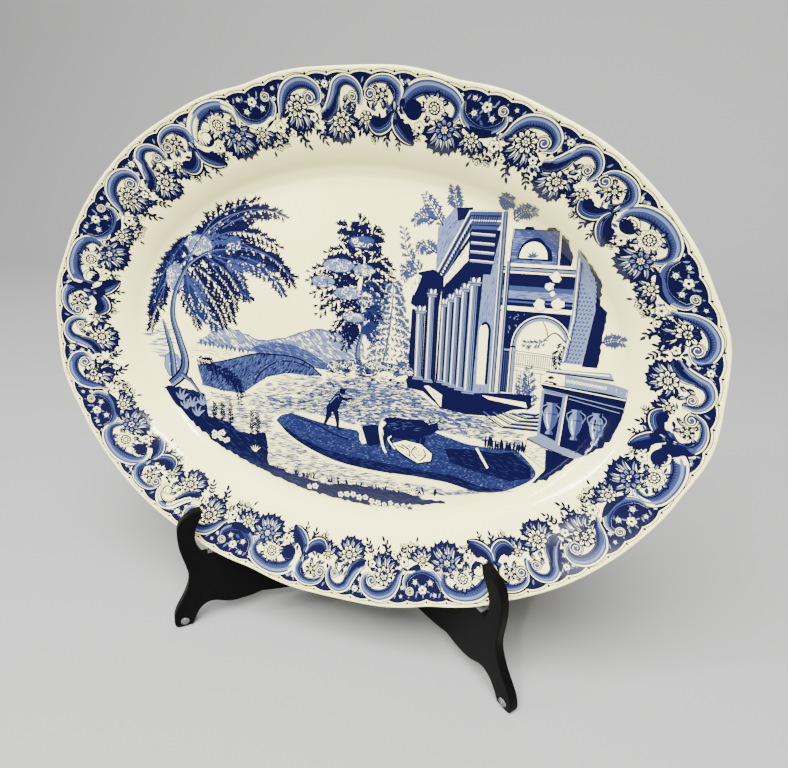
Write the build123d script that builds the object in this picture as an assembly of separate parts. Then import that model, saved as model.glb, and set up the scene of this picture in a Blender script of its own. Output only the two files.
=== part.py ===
from build123d import *
import math
import os

os.makedirs("parts", exist_ok=True)

# An oval china serving platter, leaning back in a folding display easel of two
# hinged wooden sides. Millimetres, +Z up, the printed face looks towards -Y.

# platter
half_length = 200.0       # rim centre to either end
half_width = 153.0        # rim centre to the long sides
rim_width = 36.0          # sloping printed border
rim_drop = 15.2           # how far the border falls towards the middle
well_inset = 54.0         # rim edge to the flat of the well
well_depth = 26.5
floor_under = 30.6        # rim plane to the underside of the floor
foot_depth = 32.6         # rim plane to the foot ring's resting face
foot_inset = 55.0
foot_ring_width = 4.5
lean = 11.0               # degrees from upright
rim_height = 193.5        # middle of the rim plane above the table
rim_forward = -2.95       # middle of the rim plane, along Y
outline_points = 96

# easel
half_opening = 52.0       # each side's angle from straight forward, in degrees
hinge_behind = 42.4       # hinge axis behind the middle of the rim plane
board = 6.0               # side thickness
board_start = 2.8         # hinge axis to a side's back edge
face_gap = 1.25           # hinge axis to a side's inner face
leaf_height = 26.0
leaf_width = 13.0
leaf_thick = 1.0
knuckle_radius = 2.1
pin_radius = 1.0
pin_clearance = 0.06
knuckle_gap = 0.25
lower_hinge = 40.0        # bottom of the lower hinge above the table
upper_hinge = 138.0
screw_head = 2.3
screw_shank = 1.0
screw_length = 5.0
pad_length = 8.0
pad_height = 2.2
pad_seat_u = 110.5
notch_floor = 55.2
dot_radius = 2.9
dot_height = 0.9
dot_u = 136.4
dot_z = 4.6

hinge_y = rim_forward + hinge_behind


def lobes(t):
    """How far the edge stands out from a plain oval, at this angle round it."""
    a = abs((t + 90.0) % 180.0 - 90.0)
    bumps = ((10.5, 0.95, 4.5), (0.0, -0.6, 4.0), (20.0, -0.85, 4.5), (29.0, -0.6, 7.0),
             (48.5, 0.7, 7.5), (63.5, 0.6, 3.6), (72.5, -1.25, 3.4), (81.5, 0.55, 4.0), (90.0, -0.2, 4.0))
    return sum(h * math.exp(-((a - c) / s) ** 2) for c, h, s in bumps)


def oval(inset, depth, shaped=1.0):
    """Closed outline of the platter, inset from its edge, below the rim plane."""
    points = []
    for i in range(outline_points):
        t = 360.0 * i / outline_points
        c, s = math.cos(math.radians(t)), math.sin(math.radians(t))
        out = lobes(t) * shaped
        nx, ny = c / half_length, s / half_width
        n = math.hypot(nx, ny)
        x = (half_length - inset) * c + out * nx / n
        y = (half_width - inset) * s + out * ny / n
        points.append((x, y, -depth))
    return Wire(Edge.make_spline([Vector(*p) for p in points], periodic=True))


def platter_body():
    """One fired piece: sloping rim, steep side, flat well and a foot ring."""
    back = [(0.9, 0.0, 1.0), (0.0, 1.7, 1.0), (0.3, 3.4, 1.0), (2.2, 5.3, 1.0), (18.0, 12.6, 0.7),
            (34.0, 19.9, 0.3), (42.0, 25.3, 0.1), (48.0, 29.4, 0.0), (52.5, floor_under, 0.0)]
    front = [(-6.0, -2.4, 1.0), (0.9, 0.0, 1.0), (3.0, 1.0, 1.0), (19.0, 7.9, 0.7),
             (rim_width, rim_drop, 0.3), (42.5, 19.6, 0.1), (48.0, 24.1, 0.0), (well_inset, well_depth, 0.0)]
    body = Solid.make_loft([oval(*s) for s in back], ruled=True)
    hollow = Solid.make_loft([oval(*s) for s in front], ruled=True)
    ring = Solid.extrude(
        Face(oval(foot_inset, floor_under - 1.0, 0.0), [oval(foot_inset + foot_ring_width, floor_under - 1.0, 0.0)]),
        Vector(0, 0, floor_under - 1.0 - foot_depth))
    return body - hollow + ring


def placed(shape):
    """Stands the platter up, leaning back against the easel."""
    return Location((0, rim_forward, rim_height), (90.0 - lean, 0, 0)) * shape


def side_outline():
    """Profile of one easel side: u runs forward from the hinge, z up."""
    front = [(143.3, 4.0), (142.6, 9.5), (136.6, 21.0), (131.4, 30.5), (128.7, 40.0), (129.3, 50.0),
             (131.1, 62.0), (131.2, 72.0), (129.0, 81.5), (124.0, 86.6), (118.6, 89.0), (113.6, 90.0)]
    hook = [(113.6, 90.0), (114.4, 84.5), (117.0, 79.8), (119.4, 74.5), (120.5, 68.0), (119.8, 60.5), (117.4, notch_floor)]
    under = [(104.5, notch_floor), (95.0, 62.2), (82.0, 71.5), (70.0, 79.6), (58.5, 84.4), (51.0, 88.0), (46.0, 94.5)]
    upright = [(46.0, 94.5), (38.0, 120.0), (30.4, 145.0), (23.3, 170.0), (16.8, 192.0)]
    sole = [(31.0, 0.0), (35.0, 4.6), (44.0, 8.8), (57.0, 10.4), (70.0, 11.6), (83.0, 14.0)]
    wave = [(83.0, 14.0), (91.0, 12.3), (98.0, 11.6), (107.0, 12.6), (117.5, 16.0), (123.5, 13.4), (128.4, 7.0), (131.8, 0.0)]
    edges = [
        Edge.make_line((board_start, 0), (31.0, 0)),
        Edge.make_spline([Vector(u, z) for u, z in sole]),
        Edge.make_spline([Vector(u, z) for u, z in wave]),
        Edge.make_line((131.8, 0), (139.6, 0)),
        Edge.make_three_point_arc((139.6, 0), (142.2, 1.1), (143.3, 4.0)),
        Edge.make_spline([Vector(u, z) for u, z in front]),
        Edge.make_spline([Vector(u, z) for u, z in hook]),
        Edge.make_line((117.4, notch_floor), (104.5, notch_floor)),
        Edge.make_spline([Vector(u, z) for u, z in under]),
        Edge.make_spline([Vector(u, z) for u, z in upright]),
        Edge.make_three_point_arc((16.8, 192.0), (12.4, 199.4), (board_start, 202.0)),
        Edge.make_line((board_start, 202.0), (board_start, 0)),
    ]
    return Face(Wire(edges))


def side_board():
    """One side, built flat: u along X, height along Z, inner face at Y = face_gap."""
    plate = Solid.extrude(side_outline(), Vector(0, 0, board))
    return Location((0, face_gap, 0)) * (Rotation(90, 0, 0) * plate).mirror(Plane.XZ)


def open_side(shape, way):
    """Turns a flat-built piece out to its open position: way is 1 right, -1 left."""
    turned = Rotation(0, 0, half_opening - 90.0) * shape
    if way < 0:
        turned = turned.mirror(Plane.YZ)
    return Location((0, hinge_y, 0)) * turned


def leaf(way, bottom):
    """A hinge leaf on the inner face, with its share of the knuckles on the pin axis."""
    plate = Location((0, face_gap - leaf_thick, bottom)) * Solid.make_box(leaf_width, leaf_thick, leaf_height)
    third = leaf_height / 3.0
    own = [(0.0, third), (2.0 * third, third)] if way < 0 else [(third, third)]
    other = [(third, third)] if way < 0 else [(0.0, third), (2.0 * third, third)]
    shape = plate
    for low, tall in own:
        barrel = Solid.make_cylinder(knuckle_radius, tall - knuckle_gap, Plane((0, 0, bottom + low + knuckle_gap / 2)))
        shape = shape + barrel
    for low, tall in other:
        room = Solid.make_cylinder(knuckle_radius + 0.3, tall + knuckle_gap, Plane((0, 0, bottom + low - knuckle_gap / 2)))
        shape = shape - room
    bore = Solid.make_cylinder(pin_radius + pin_clearance, leaf_height + 4.0, Plane((0, 0, bottom - 2.0)))
    shape = shape - bore
    for z in screw_heights(bottom):
        shape = shape - countersink(z)
    return shape


def screw_heights(bottom):
    return [bottom + 5.0, bottom + leaf_height - 5.0]


def countersink(z):
    """Room for one screw through a leaf and into the board."""
    at = (8.6, face_gap - leaf_thick, z)
    head = Solid.make_cone(screw_head, screw_shank, 0.9, Plane(at, z_dir=(0, 1, 0)))
    shank = Solid.make_cylinder(screw_shank, screw_length, Plane(at, z_dir=(0, 1, 0)))
    return head + shank


def screws():
    """Countersunk screws of one side, all alike."""
    made = []
    for bottom in (lower_hinge, upper_hinge):
        for z in screw_heights(bottom):
            at = (8.6, face_gap - leaf_thick, z)
            head = Solid.make_cone(screw_head - 0.02, screw_shank - 0.02, 0.9, Plane(at, z_dir=(0, 1, 0)))
            shank = Solid.make_cylinder(screw_shank - 0.02, screw_length, Plane(at, z_dir=(0, 1, 0)))
            slot = Location((8.6, face_gap - leaf_thick, z)) * Solid.make_box(5.0, 0.8, 0.5)
            slot = Location((-2.5, -0.4, -0.25)) * slot
            made.append(head + shank - slot)
    return made


def bored_board():
    """The board with its screw holes."""
    shape = side_board()
    for bottom in (lower_hinge, upper_hinge):
        for z in screw_heights(bottom):
            hole = Solid.make_cylinder(screw_shank, screw_length + 0.1, Plane((8.6, face_gap - leaf_thick, z), z_dir=(0, 1, 0)))
            shape = shape - hole
    return shape


def notch_pad():
    """Clear soft bumper on the notch floor, under the platter's edge."""
    stretch = pad_length / (2.0 * pad_height)
    body = Solid.extrude(pad_face(stretch), Vector(0, 0, board - 1.2))
    body = (Rotation(90, 0, 0) * body).mirror(Plane.XZ)
    return Location((pad_seat_u, face_gap + 0.6, notch_floor)) * body


def pad_face(stretch):
    """Low dome section of the notch bumper."""
    half = pad_height * stretch
    dome = Edge.make_three_point_arc((half, 0.0), (0.0, pad_height), (-half, 0.0))
    return Face(Wire([dome, Edge.make_line((-half, 0.0), (half, 0.0))]))


def foot_dot():
    """Clear bumper on the inner face of a front foot."""
    dome = Solid.make_cone(dot_radius, dot_radius - 0.8, dot_height, Plane((dot_u, face_gap, dot_z), z_dir=(0, -1, 0)))
    return dome


def hinge_pin(bottom):
    """Headed pin through one hinge's knuckles."""
    pin = Solid.make_cylinder(pin_radius, leaf_height, Plane((0, hinge_y, bottom)))
    cap = Solid.make_cylinder(pin_radius + 0.7, 1.0, Plane((0, hinge_y, bottom + leaf_height)))
    return pin + cap


def as_solids(shape):
    found = shape.solids()
    return found[0] if len(found) == 1 else Compound(children=list(found))


nodes = {"platter": placed(platter_body())}
for name, way in (("left", -1), ("right", 1)):
    nodes[name + "_side"] = open_side(bored_board(), way)
    nodes[name + "_lower_leaf"] = open_side(leaf(way, lower_hinge), way)
    nodes[name + "_upper_leaf"] = open_side(leaf(way, upper_hinge), way)
    nodes[name + "_screws"] = Compound(children=[open_side(s, way) for s in screws()])
    nodes[name + "_notch_pad"] = open_side(notch_pad(), way)
    nodes[name + "_foot_dot"] = open_side(foot_dot(), way)
nodes["lower_pin"] = hinge_pin(lower_hinge)
nodes["upper_pin"] = hinge_pin(upper_hinge)

for node, shape in nodes.items():
    export_step(as_solids(shape), "parts/" + node + ".step")
    print(node, len(shape.solids()), round(shape.volume, 1))
everything = Compound(children=[as_solids(s) for s in nodes.values()])
box = everything.bounding_box()
print("box", [round(v, 3) for v in (*box.min, *box.max)])
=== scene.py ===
import math
import random

import bmesh
import bpy
import numpy as np
from mathutils import Matrix, Vector, geometry


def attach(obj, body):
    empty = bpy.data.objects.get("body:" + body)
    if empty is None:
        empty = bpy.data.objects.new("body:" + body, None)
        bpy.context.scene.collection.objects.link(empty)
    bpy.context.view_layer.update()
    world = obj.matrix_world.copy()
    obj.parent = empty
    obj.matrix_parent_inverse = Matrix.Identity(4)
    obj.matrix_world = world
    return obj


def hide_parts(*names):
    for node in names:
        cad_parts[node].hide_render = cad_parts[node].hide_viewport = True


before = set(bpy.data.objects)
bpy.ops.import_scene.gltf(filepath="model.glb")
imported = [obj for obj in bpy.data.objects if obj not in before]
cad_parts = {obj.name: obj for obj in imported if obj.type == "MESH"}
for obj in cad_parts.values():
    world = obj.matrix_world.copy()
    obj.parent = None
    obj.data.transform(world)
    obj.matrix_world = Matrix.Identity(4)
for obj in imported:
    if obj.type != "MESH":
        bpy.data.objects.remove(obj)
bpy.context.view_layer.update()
mm = 0.001
turn = 2 * math.pi

# sizes shared by several pieces, in millimetres
dish = {"halfLength": 200, "halfWidth": 153, "tilt": 79, "forward": -2.95, "height": 193.5}
floorOval = (146.0, 99.0)
backOval = (138, 91)
wellDepth, backDepthAtMiddle = 26.5, 30.6
hingeY = 39.45
boardTurn = math.radians(52)
tones = ("navy", "deep", "mid", "pale", "ivory")


# the dish's shape: insets from the outline, depths below the rim's top
def lobes(t):
    # gentle swells along the edge, the same in each quarter
    a = np.abs((np.degrees(t) + 90) % 180 - 90)
    swells = ((10.5, 0.95, 4.5), (0, -0.6, 4), (20, -0.85, 4.5), (29, -0.6, 7), (48.5, 0.7, 7.5),
        (63.5, 0.6, 3.6), (72.5, -1.25, 3.4), (81.5, 0.55, 4), (90, -0.2, 4))
    return sum(h * np.exp(-(((a - c) / s) ** 2)) for c, h, s in swells)


def monotone(xs, ys):
    # a smooth curve through the points that never overshoots them
    xs, ys = np.array(xs, float), np.array(ys, float)
    d = np.diff(ys) / np.diff(xs)
    m = np.concatenate([[d[0]], np.where(d[:-1] * d[1:] > 0, 2 * d[:-1] * d[1:] / (d[:-1] + d[1:] + 1e-12),
                0), [0.0]])

    def value(x):
        x = np.clip(x, xs[0], xs[-1])
        i = np.clip(np.searchsorted(xs, x, side="right") - 1, 0, len(xs) - 2)
        h = xs[i + 1] - xs[i]
        u = (x - xs[i]) / h
        return (2 * u**3 - 3 * u**2 + 1) * ys[i] + (u**3 - 2 * u**2 + u) * h * m[i] + (3 * u**2
            - 2 * u**3) * ys[i + 1] + (u**3 - u**2) * h * m[i + 1]

    return value


frontDepth = monotone((0.9, 3, 19, 36, 42.5, 48, 54), (0.12, 1.0, 7.9, 15.2, 19.6, 24.1, wellDepth))
backDepth = monotone((2.2, 18, 34, 42, 48, 52.5), (5.3, 12.6, 19.9, 25.3, 29.4, backDepthAtMiddle))


def lobeShare(inset):
    return np.interp(inset, (3, 19, 36, 42.5, 48), (1, 0.7, 0.3, 0.1, 0))


def ovalAt(t, inset, depth, share):
    # a point of the dish in its own axes: x along, y up the dish, z out of the front
    nx, ny = np.cos(t) / dish["halfLength"], np.sin(t) / dish["halfWidth"]
    out = lobes(t) * share / np.hypot(nx, ny)
    x = (dish["halfLength"] - inset) * np.cos(t) + out * nx
    y = (dish["halfWidth"] - inset) * np.sin(t) + out * ny
    return np.stack([x, y, -depth + 0 * x], -1)


def standUp(p):
    # from the dish's own axes to the frame, in metres
    a = math.radians(dish["tilt"])
    x, y, z = p[..., 0], p[..., 1], p[..., 2]
    return np.stack([x, y * math.cos(a) - z * math.sin(a) + dish["forward"],
            y * math.sin(a) + z * math.cos(a) + dish["height"]], -1) * mm


# arc length along the middle of the rim, so that the border's repeats come out even
fineTurn = np.linspace(0, turn, 7201)
midRim = ovalAt(fineTurn, 18, 0, 0)
midArc = np.concatenate([[0], np.cumsum(np.hypot(*np.diff(midRim[:, :2], axis=0).T))])
repeats = 8
repeatLength = midArc[-1] / repeats
repeatUnits = 126  # the border's drawing units along one repeat
swagCount = 88  # bows of the edge line round the rim
junctionStart = 0.80 * repeatLength


def rimPoint(p):
    # border coordinates: distance round the rim and inset from the edge
    t = np.interp((p[:, 0] + junctionStart) % midArc[-1], midArc, fineTurn)
    return ovalAt(t, p[:, 1], frontDepth(p[:, 1]), lobeShare(p[:, 1]))


def wellPoint(p):
    # picture coordinates: across and up from the middle of the well
    far = np.hypot(p[:, 0] / floorOval[0], p[:, 1] / floorOval[1])
    r = np.hypot(p[:, 0], p[:, 1])
    inset = 54 - np.where(far > 1, r * (1 - 1 / np.maximum(far, 1)), 0)
    return np.stack([p[:, 0], p[:, 1], -frontDepth(inset)], -1)


def surfaceNormal(mapper, p):
    e = 0.05
    du = mapper(p + [e, 0]) - mapper(p - [e, 0])
    dv = mapper(p + [0, e]) - mapper(p - [0, e])
    n = np.cross(du, dv)
    n /= np.linalg.norm(n, axis=1)[:, None]
    return n * np.sign(n[:, 2])[:, None]


# materials
def newMaterial(name):
    m = bpy.data.materials.new(name)
    m.use_nodes = True
    return m, m.node_tree.nodes, m.node_tree.links, m.node_tree.nodes["Principled BSDF"]


def node(nodes, kind, **values):
    n = nodes.new("ShaderNode" + kind)
    for k, v in values.items():
        if k in n.inputs:
            n.inputs[k].default_value = v
        else:
            setattr(n, k, v)
    return n


def setRange(spread, low, high):
    spread.inputs["To Min"].default_value, spread.inputs["To Max"].default_value = low, high


def setRamp(ramp, first, last, start=0.0, end=1.0):
    for stop, colour, place in zip(ramp.color_ramp.elements, (first, last), (start, end)):
        stop.color, stop.position = colour, place


glazeLook = {"roughness": 0.12, "ior": 1.47, "coat": 0.15, "coatRoughness": (0.02, 0.07), "cloudScale": 26.0}


def glaze(name, colour, vary):
    # glossy and a little uneven; vary darkens the colour in soft clouds
    m, nodes, links, shader = newMaterial(name)
    shader.inputs["Base Color"].default_value = (*colour, 1)
    shader.inputs["Roughness"].default_value = glazeLook["roughness"]
    shader.inputs["IOR"].default_value = glazeLook["ior"]
    shader.inputs["Coat Weight"].default_value = glazeLook["coat"]
    place = node(nodes, "TexCoord")
    noise = node(nodes, "TexNoise", Scale=glazeLook["cloudScale"], Detail=3.0)
    links.new(place.outputs["Object"], noise.inputs["Vector"])
    spread = node(nodes, "MapRange")
    setRange(spread, *glazeLook["coatRoughness"])
    links.new(noise.outputs["Fac"], spread.inputs["Value"])
    links.new(spread.outputs["Result"], shader.inputs["Coat Roughness"])
    if vary:
        ramp = node(nodes, "ValToRGB")
        setRamp(ramp, (*[c * (1 - vary) for c in colour], 1), (*colour, 1), 0.3, 0.6)
        links.new(noise.outputs["Fac"], ramp.inputs["Fac"])
        links.new(ramp.outputs["Color"], shader.inputs["Base Color"])
    return m


def meshObject(name, verts, faces, material):
    mesh = bpy.data.meshes.new(name)
    mesh.from_pydata([tuple(v) for v in verts], [], faces)
    mesh.update()
    mesh.polygons.foreach_set("use_smooth", [True] * len(mesh.polygons))
    obj = bpy.data.objects.new(name, mesh)
    bpy.context.scene.collection.objects.link(obj)
    mesh.materials.append(material)
    return obj


def finishPiece(obj, body, slot, *replaced):
    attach(obj, body)
    if replaced:
        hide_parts(*replaced)
    return obj


# the platter's body
def buildPlatter():
    look = {"around": 720, "colour": (0.91, 0.865, 0.36), "vary": 0.035}
    t = np.linspace(0, turn, look["around"], endpoint=False)
    rings = []
    for s in (0.12, 0.3, 0.5, 0.7, 0.86, 0.95):
        rings.append(np.stack([floorOval[0] * s * np.cos(t), floorOval[1] * s * np.sin(t),
                    -wellDepth + 0 * t], -1))
    for inset in (54, 53, 52, 51, 50, 49, 48, 47, 46, 45, 44, 43, 42, 41, 40, 39, 38, 37, 36, 34.5, 33, 31,
            28, 25, 22, 19, 16, 13, 10, 7.5, 5.5, 4, 3, 2.2):
        rings.append(ovalAt(t, inset, frontDepth(inset), lobeShare(inset)))
    edge = ((1.5, 0.3), (1.0, 0.24), (0.6, 0.42), (0.3, 0.85), (0.1, 1.4), (0.06, 2.0), (0.2, 2.8),
        (0.5, 3.5), (1.0, 4.2), (1.6, 4.85), (2.2, 5.3))
    for inset, depth in edge:
        rings.append(ovalAt(t, inset, depth, 1))
    for inset in (3.5, 6, 9, 13, 18, 23, 28, 31, 34, 36, 38, 40, 42, 44, 46, 48, 50, 51.5):
        rings.append(ovalAt(t, inset, backDepth(inset), lobeShare(inset)))
    foot = ((53, 30.55), (54.2, 30.7), (54.8, 31.1), (55.1, 31.9), (55.6, 32.4), (56.3, 32.6), (58.3, 32.6),
        (59.0, 32.4), (59.4, 31.9), (59.7, 31.1), (60.3, 30.7), (61.5, 30.6))
    for inset, depth in foot:
        rings.append(ovalAt(t, inset, depth, 0))
    for s in (0.9, 0.7, 0.4, 0.15):
        rings.append(np.stack([backOval[0] * s * np.cos(t), backOval[1] * s * np.sin(t),
                    -backDepthAtMiddle + 0 * t], -1))
    count, n = len(rings), look["around"]
    verts = list(standUp(np.concatenate(rings)))
    faces = []
    for r in range(count - 1):
        for i in range(n):
            j = (i + 1) % n
            faces.append((r * n + i, (r + 1) * n + i, (r + 1) * n + j, r * n + j))
    verts.append(standUp(np.array([0, 0, -wellDepth])))
    verts.append(standUp(np.array([0, 0, -backDepthAtMiddle])))
    last = (count - 1) * n
    for i in range(n):
        j = (i + 1) % n
        faces.append((count * n, i, j))
        faces.append((count * n + 1, last + j, last + i))
    obj = meshObject("china_platter", verts, faces, glaze("ivory_glaze", look["colour"], look["vary"]))
    return finishPiece(obj, "platter_body", "glazed_china", "platter")


buildPlatter()
print("platter body made")

# the print: flat shapes laid just above the glaze, sorted by area and tone
art = {}
drawing = {"area": "border"}


def around(centre, radius, angle):
    return (centre[0] + radius * math.cos(angle), centre[1] + radius * math.sin(angle))


def bow(centre, rx, ry, start, end, count):
    # points along part of an oval, for arches and windows
    return [(centre[0] + rx * math.cos(a), centre[1] + ry * math.sin(a))
        for a in np.linspace(start, end, count)]


def addShape(tone, level, verts, faces):
    part = art.setdefault((drawing["area"], tone), {"verts": [], "faces": [], "level": [], "count": 0})
    start = part["count"]
    part["verts"].append(np.array(verts, float))
    part["level"].append(np.full(len(verts), level + 0.07 * (len(part["verts"]) % 11)))
    part["faces"] += [tuple(start + i for i in f) for f in faces]
    part["count"] += len(verts)


def strip(tone, level, left, right, across=1):
    # a band between two edges with the same number of points
    left, right = np.array(left, float), np.array(right, float)
    n = len(left)
    rows = [left + (right - left) * k / across for k in range(across + 1)]
    faces = [(k * n + i, k * n + i + 1, (k + 1) * n + i + 1, (k + 1) * n + i) for k in range(across)
        for i in range(n - 1)]
    addShape(tone, level, np.concatenate(rows), faces)


def smoothPath(points, steps=8):
    # a curve through the points
    p = np.array(points, float)
    if len(p) < 3:
        return np.stack([np.linspace(p[0, k], p[-1, k], steps + 1) for k in (0, 1)], -1)
    q = np.vstack([2 * p[0] - p[1], p, 2 * p[-1] - p[-2]])
    out = []
    for i in range(1, len(q) - 2):
        for u in np.linspace(0, 1, steps, endpoint=False):
            out.append(0.5 * ((2 * q[i]) + (q[i + 1] - q[i - 1]) * u
                    + (2 * q[i - 1] - 5 * q[i] + 4 * q[i + 1] - q[i + 2]) * u**2
                    + (3 * q[i] - q[i - 1] - 3 * q[i + 1] + q[i + 2]) * u**3))
    out.append(p[-1])
    return np.array(out)


def pathSides(path):
    d = np.gradient(path, axis=0)
    d /= np.maximum(np.linalg.norm(d, axis=1), 1e-9)[:, None]
    return np.stack([-d[:, 1], d[:, 0]], -1)


def ribbon(tone, level, path, width, shift=0.0):
    # a line whose width may change along it; shift moves it sideways
    path = np.array(path, float)
    side = pathSides(path)
    w = np.array(width, float) * np.ones(len(path)) / 2
    s = np.array(shift, float) * np.ones(len(path))
    strip(tone, level, path + side * (s + w)[:, None], path + side * (s - w)[:, None])


def swell(n, peak, ends=0.06, lean=0.5):
    # widths that start thin, swell and end thin
    u = np.linspace(0, 1, n)
    u = u ** (math.log(0.5) / math.log(lean))
    return peak * (ends + (1 - ends) * np.sin(u * math.pi) ** 0.8)


def blade(tone, level, base, tip, width, bend=0.0, lean=0.42, steps=7):
    # a leaf, petal or single stroke from base to tip
    base, tip = np.array(base, float), np.array(tip, float)
    d = tip - base
    mid = (base + tip) / 2 + np.array([-d[1], d[0]]) * bend
    u = np.linspace(0, 1, steps)[:, None]
    path = (1 - u) ** 2 * base + 2 * u * (1 - u) * mid + u**2 * tip
    ribbon(tone, level, path, swell(steps, width, 0.04, lean))


def disc(tone, level, centre, rx, n=12, ry=None):
    ry = ry or rx
    a = np.linspace(0, math.pi, n // 2 + 1)
    left = [(centre[0] - rx * math.cos(x), centre[1] + ry * math.sin(x)) for x in a]
    right = [(centre[0] - rx * math.cos(x), centre[1] - ry * math.sin(x)) for x in a]
    strip(tone, level, left, right)


def polygon(tone, level, points, grid=0.0):
    # any outline; grid puts points inside it so that the shape can follow a curve
    outline = []
    p = [Vector(q) for q in points]
    for i, q in enumerate(p):
        r = p[(i + 1) % len(p)]
        steps = max(1, math.ceil((r - q).length / grid)) if grid else 1
        outline += [q.lerp(r, k / steps) for k in range(steps)]
    n = len(outline)
    inner = []
    if grid:
        xs, ys = [q.x for q in outline], [q.y for q in outline]
        for i in range(int((max(xs) - min(xs)) / grid) + 1):
            for j in range(int((max(ys) - min(ys)) / grid) + 1):
                inner.append(Vector((min(xs) + (i + 0.5) * grid, min(ys) + (j + 0.5) * grid)))
    made = geometry.delaunay_2d_cdt(outline + inner, [], [list(range(n))], 1, 1e-5)
    addShape(tone, level, [tuple(v) for v in made[0]], [tuple(f) for f in made[2]])


def leaf(level, base, tip, width, bend=0.0):
    # dark notched leaf with a light streak on each side of its rib
    b, t = np.array(base, float), np.array(tip, float)
    d = t - b
    long = np.linalg.norm(d)
    side = np.array([-d[1], d[0]]) / max(long, 1e-9)
    blade("navy", level, b, t, width, bend)
    for k in range(3):
        u = 0.34 + 0.2 * k
        for s in (1, -1):
            root = b + d * (u - 0.14)
            blade("navy", level, root, root + d * 0.24 + side * s * width * 0.56, width * 0.34, 0.1 * s, 0.5,
                5)
    blade("pale", level + 1, b + d * 0.06 + side * width * 0.16, b + d * 0.72 + side * width * 0.05,
        width * 0.2, bend + 0.05, 0.35, 6)
    blade("ivory", level + 1.6, b + d * 0.08 - side * width * 0.12, b + d * 0.58 - side * width * 0.08,
        width * 0.12, bend, 0.35, 5)


def daisy(level, centre, radius, petals=8, spin=0.0, petal="ivory"):
    # a flower with pointed light petals on dark ones and a beaded dark heart
    for k in range(petals):
        a = spin + turn * k / petals
        between = a + turn / petals / 2
        blade("navy", level, centre, around(centre, radius * 1.08, between), radius * 0.5, 0, 0.6)
        blade("navy", level + 0.5, around(centre, radius * 0.2, a), around(centre, radius * 1.14, a),
            radius * 0.64, 0, 0.6)
        blade(petal, level + 1.4, around(centre, radius * 0.25, a), around(centre, radius * 1.0, a),
            radius * 0.36, 0, 0.66)
        blade("mid", level + 2.2, around(centre, radius * 0.3, a), around(centre, radius * 0.85, a),
            radius * 0.14, 0.1, 0.4)
        blade("navy", level + 3, around(centre, radius * 0.3, a), around(centre, radius * 0.78, a),
            radius * 0.14, 0, 0.3)
    disc("navy", level + 4, centre, radius * 0.52, 14)
    for k in range(6):
        a = spin + turn * k / 6
        disc("ivory", level + 5, around(centre, radius * 0.27, a), radius * 0.1, 6)
    disc("ivory", level + 5, centre, radius * 0.1, 6)


def roundFlower(level, centre, radius, petals=5, spin=0.0, petal="ivory", dark="navy"):
    # a small flower with round petals
    for k in range(petals):
        a = spin + turn * k / petals
        at = around(centre, radius * 0.58, a)
        disc(dark, level, at, radius * 0.5, 10)
        disc(petal, level + 1.2, at, radius * 0.37, 10)
        blade("mid", level + 2.2, at, around(centre, radius * 0.2, a), radius * 0.16, 0, 0.5, 4)
    disc(dark, level + 3.2, centre, radius * 0.24, 8)


def starFlower(level, centre, radius, spin=0.0):
    # a light flower with narrow petals, on the dark field
    for k in range(5):
        a = spin + turn * k / 5
        at = around(centre, radius * 0.42, a)
        disc("ivory", level, at, radius * 0.26, 8)
        b = a + turn / 10
        blade("pale", level, around(centre, radius * 0.5, b), around(centre, radius * 1.25, b),
            radius * 0.24, 0, 0.5, 5)
    disc("navy", level + 1, centre, radius * 0.2, 8)


def rosette(level, centre, radius):
    # the large full flower: light outer petals, a dark ring and a beaded heart
    disc("navy", level, centre, radius * 0.95, 20)
    for k in range(8):
        a = turn * k / 8
        at = around(centre, radius * 0.78, a)
        disc("navy", level + 0.6, at, radius * 0.4, 12)
        disc("ivory", level + 1.4, at, radius * 0.31, 12)
        for o in (-0.12, 0.12):
            blade("mid", level + 2.4, around(centre, radius * 1.0, a + o),
                around(centre, radius * 0.6, a + o), radius * 0.1, 0, 0.5, 4)
    disc("navy", level + 3.4, centre, radius * 0.66, 18)
    for k in range(9):
        a = turn * (k + 0.5) / 9
        disc("ivory", level + 4.4, around(centre, radius * 0.42, a), radius * 0.1, 8)
    disc("ivory", level + 4.6, centre, radius * 0.2, 10)
    disc("navy", level + 5.6, centre, radius * 0.08, 6)


def sprig(level, path, count=4, size=2.4, ends="bud"):
    # a thin stem with leaves on both sides
    path = smoothPath(path, 6)
    ribbon("navy", level, path, np.linspace(0.6, 0.34, len(path)) * size / 2.4)
    for k in range(count):
        i = int((k + 1) / (count + 1) * (len(path) - 1))
        d = path[min(i + 1, len(path) - 1)] - path[i - 1]
        d /= np.linalg.norm(d)
        side = np.array([-d[1], d[0]])
        for s in (1, -1):
            tip = path[i] + d * size * 0.85 + side * s * size * 0.85
            blade("navy", level + 0.5, path[i], tip, size * 0.56, 0.12 * s, 0.5, 5)
            if ends == "berry":
                disc("navy", level + 0.5, tip, size * 0.3, 8)
                disc("ivory", level + 1.5, tip, size * 0.15, 6)
    d = path[-1] - path[-2]
    d /= np.linalg.norm(d)
    if ends == "bud":
        blade("navy", level + 0.5, path[-1] - d * 0.2, path[-1] + d * size * 1.2, size * 0.62)
    elif ends == "berry":
        disc("navy", level + 0.5, path[-1], size * 0.42, 8)
        disc("ivory", level + 1.5, path[-1], size * 0.2, 8)


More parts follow.
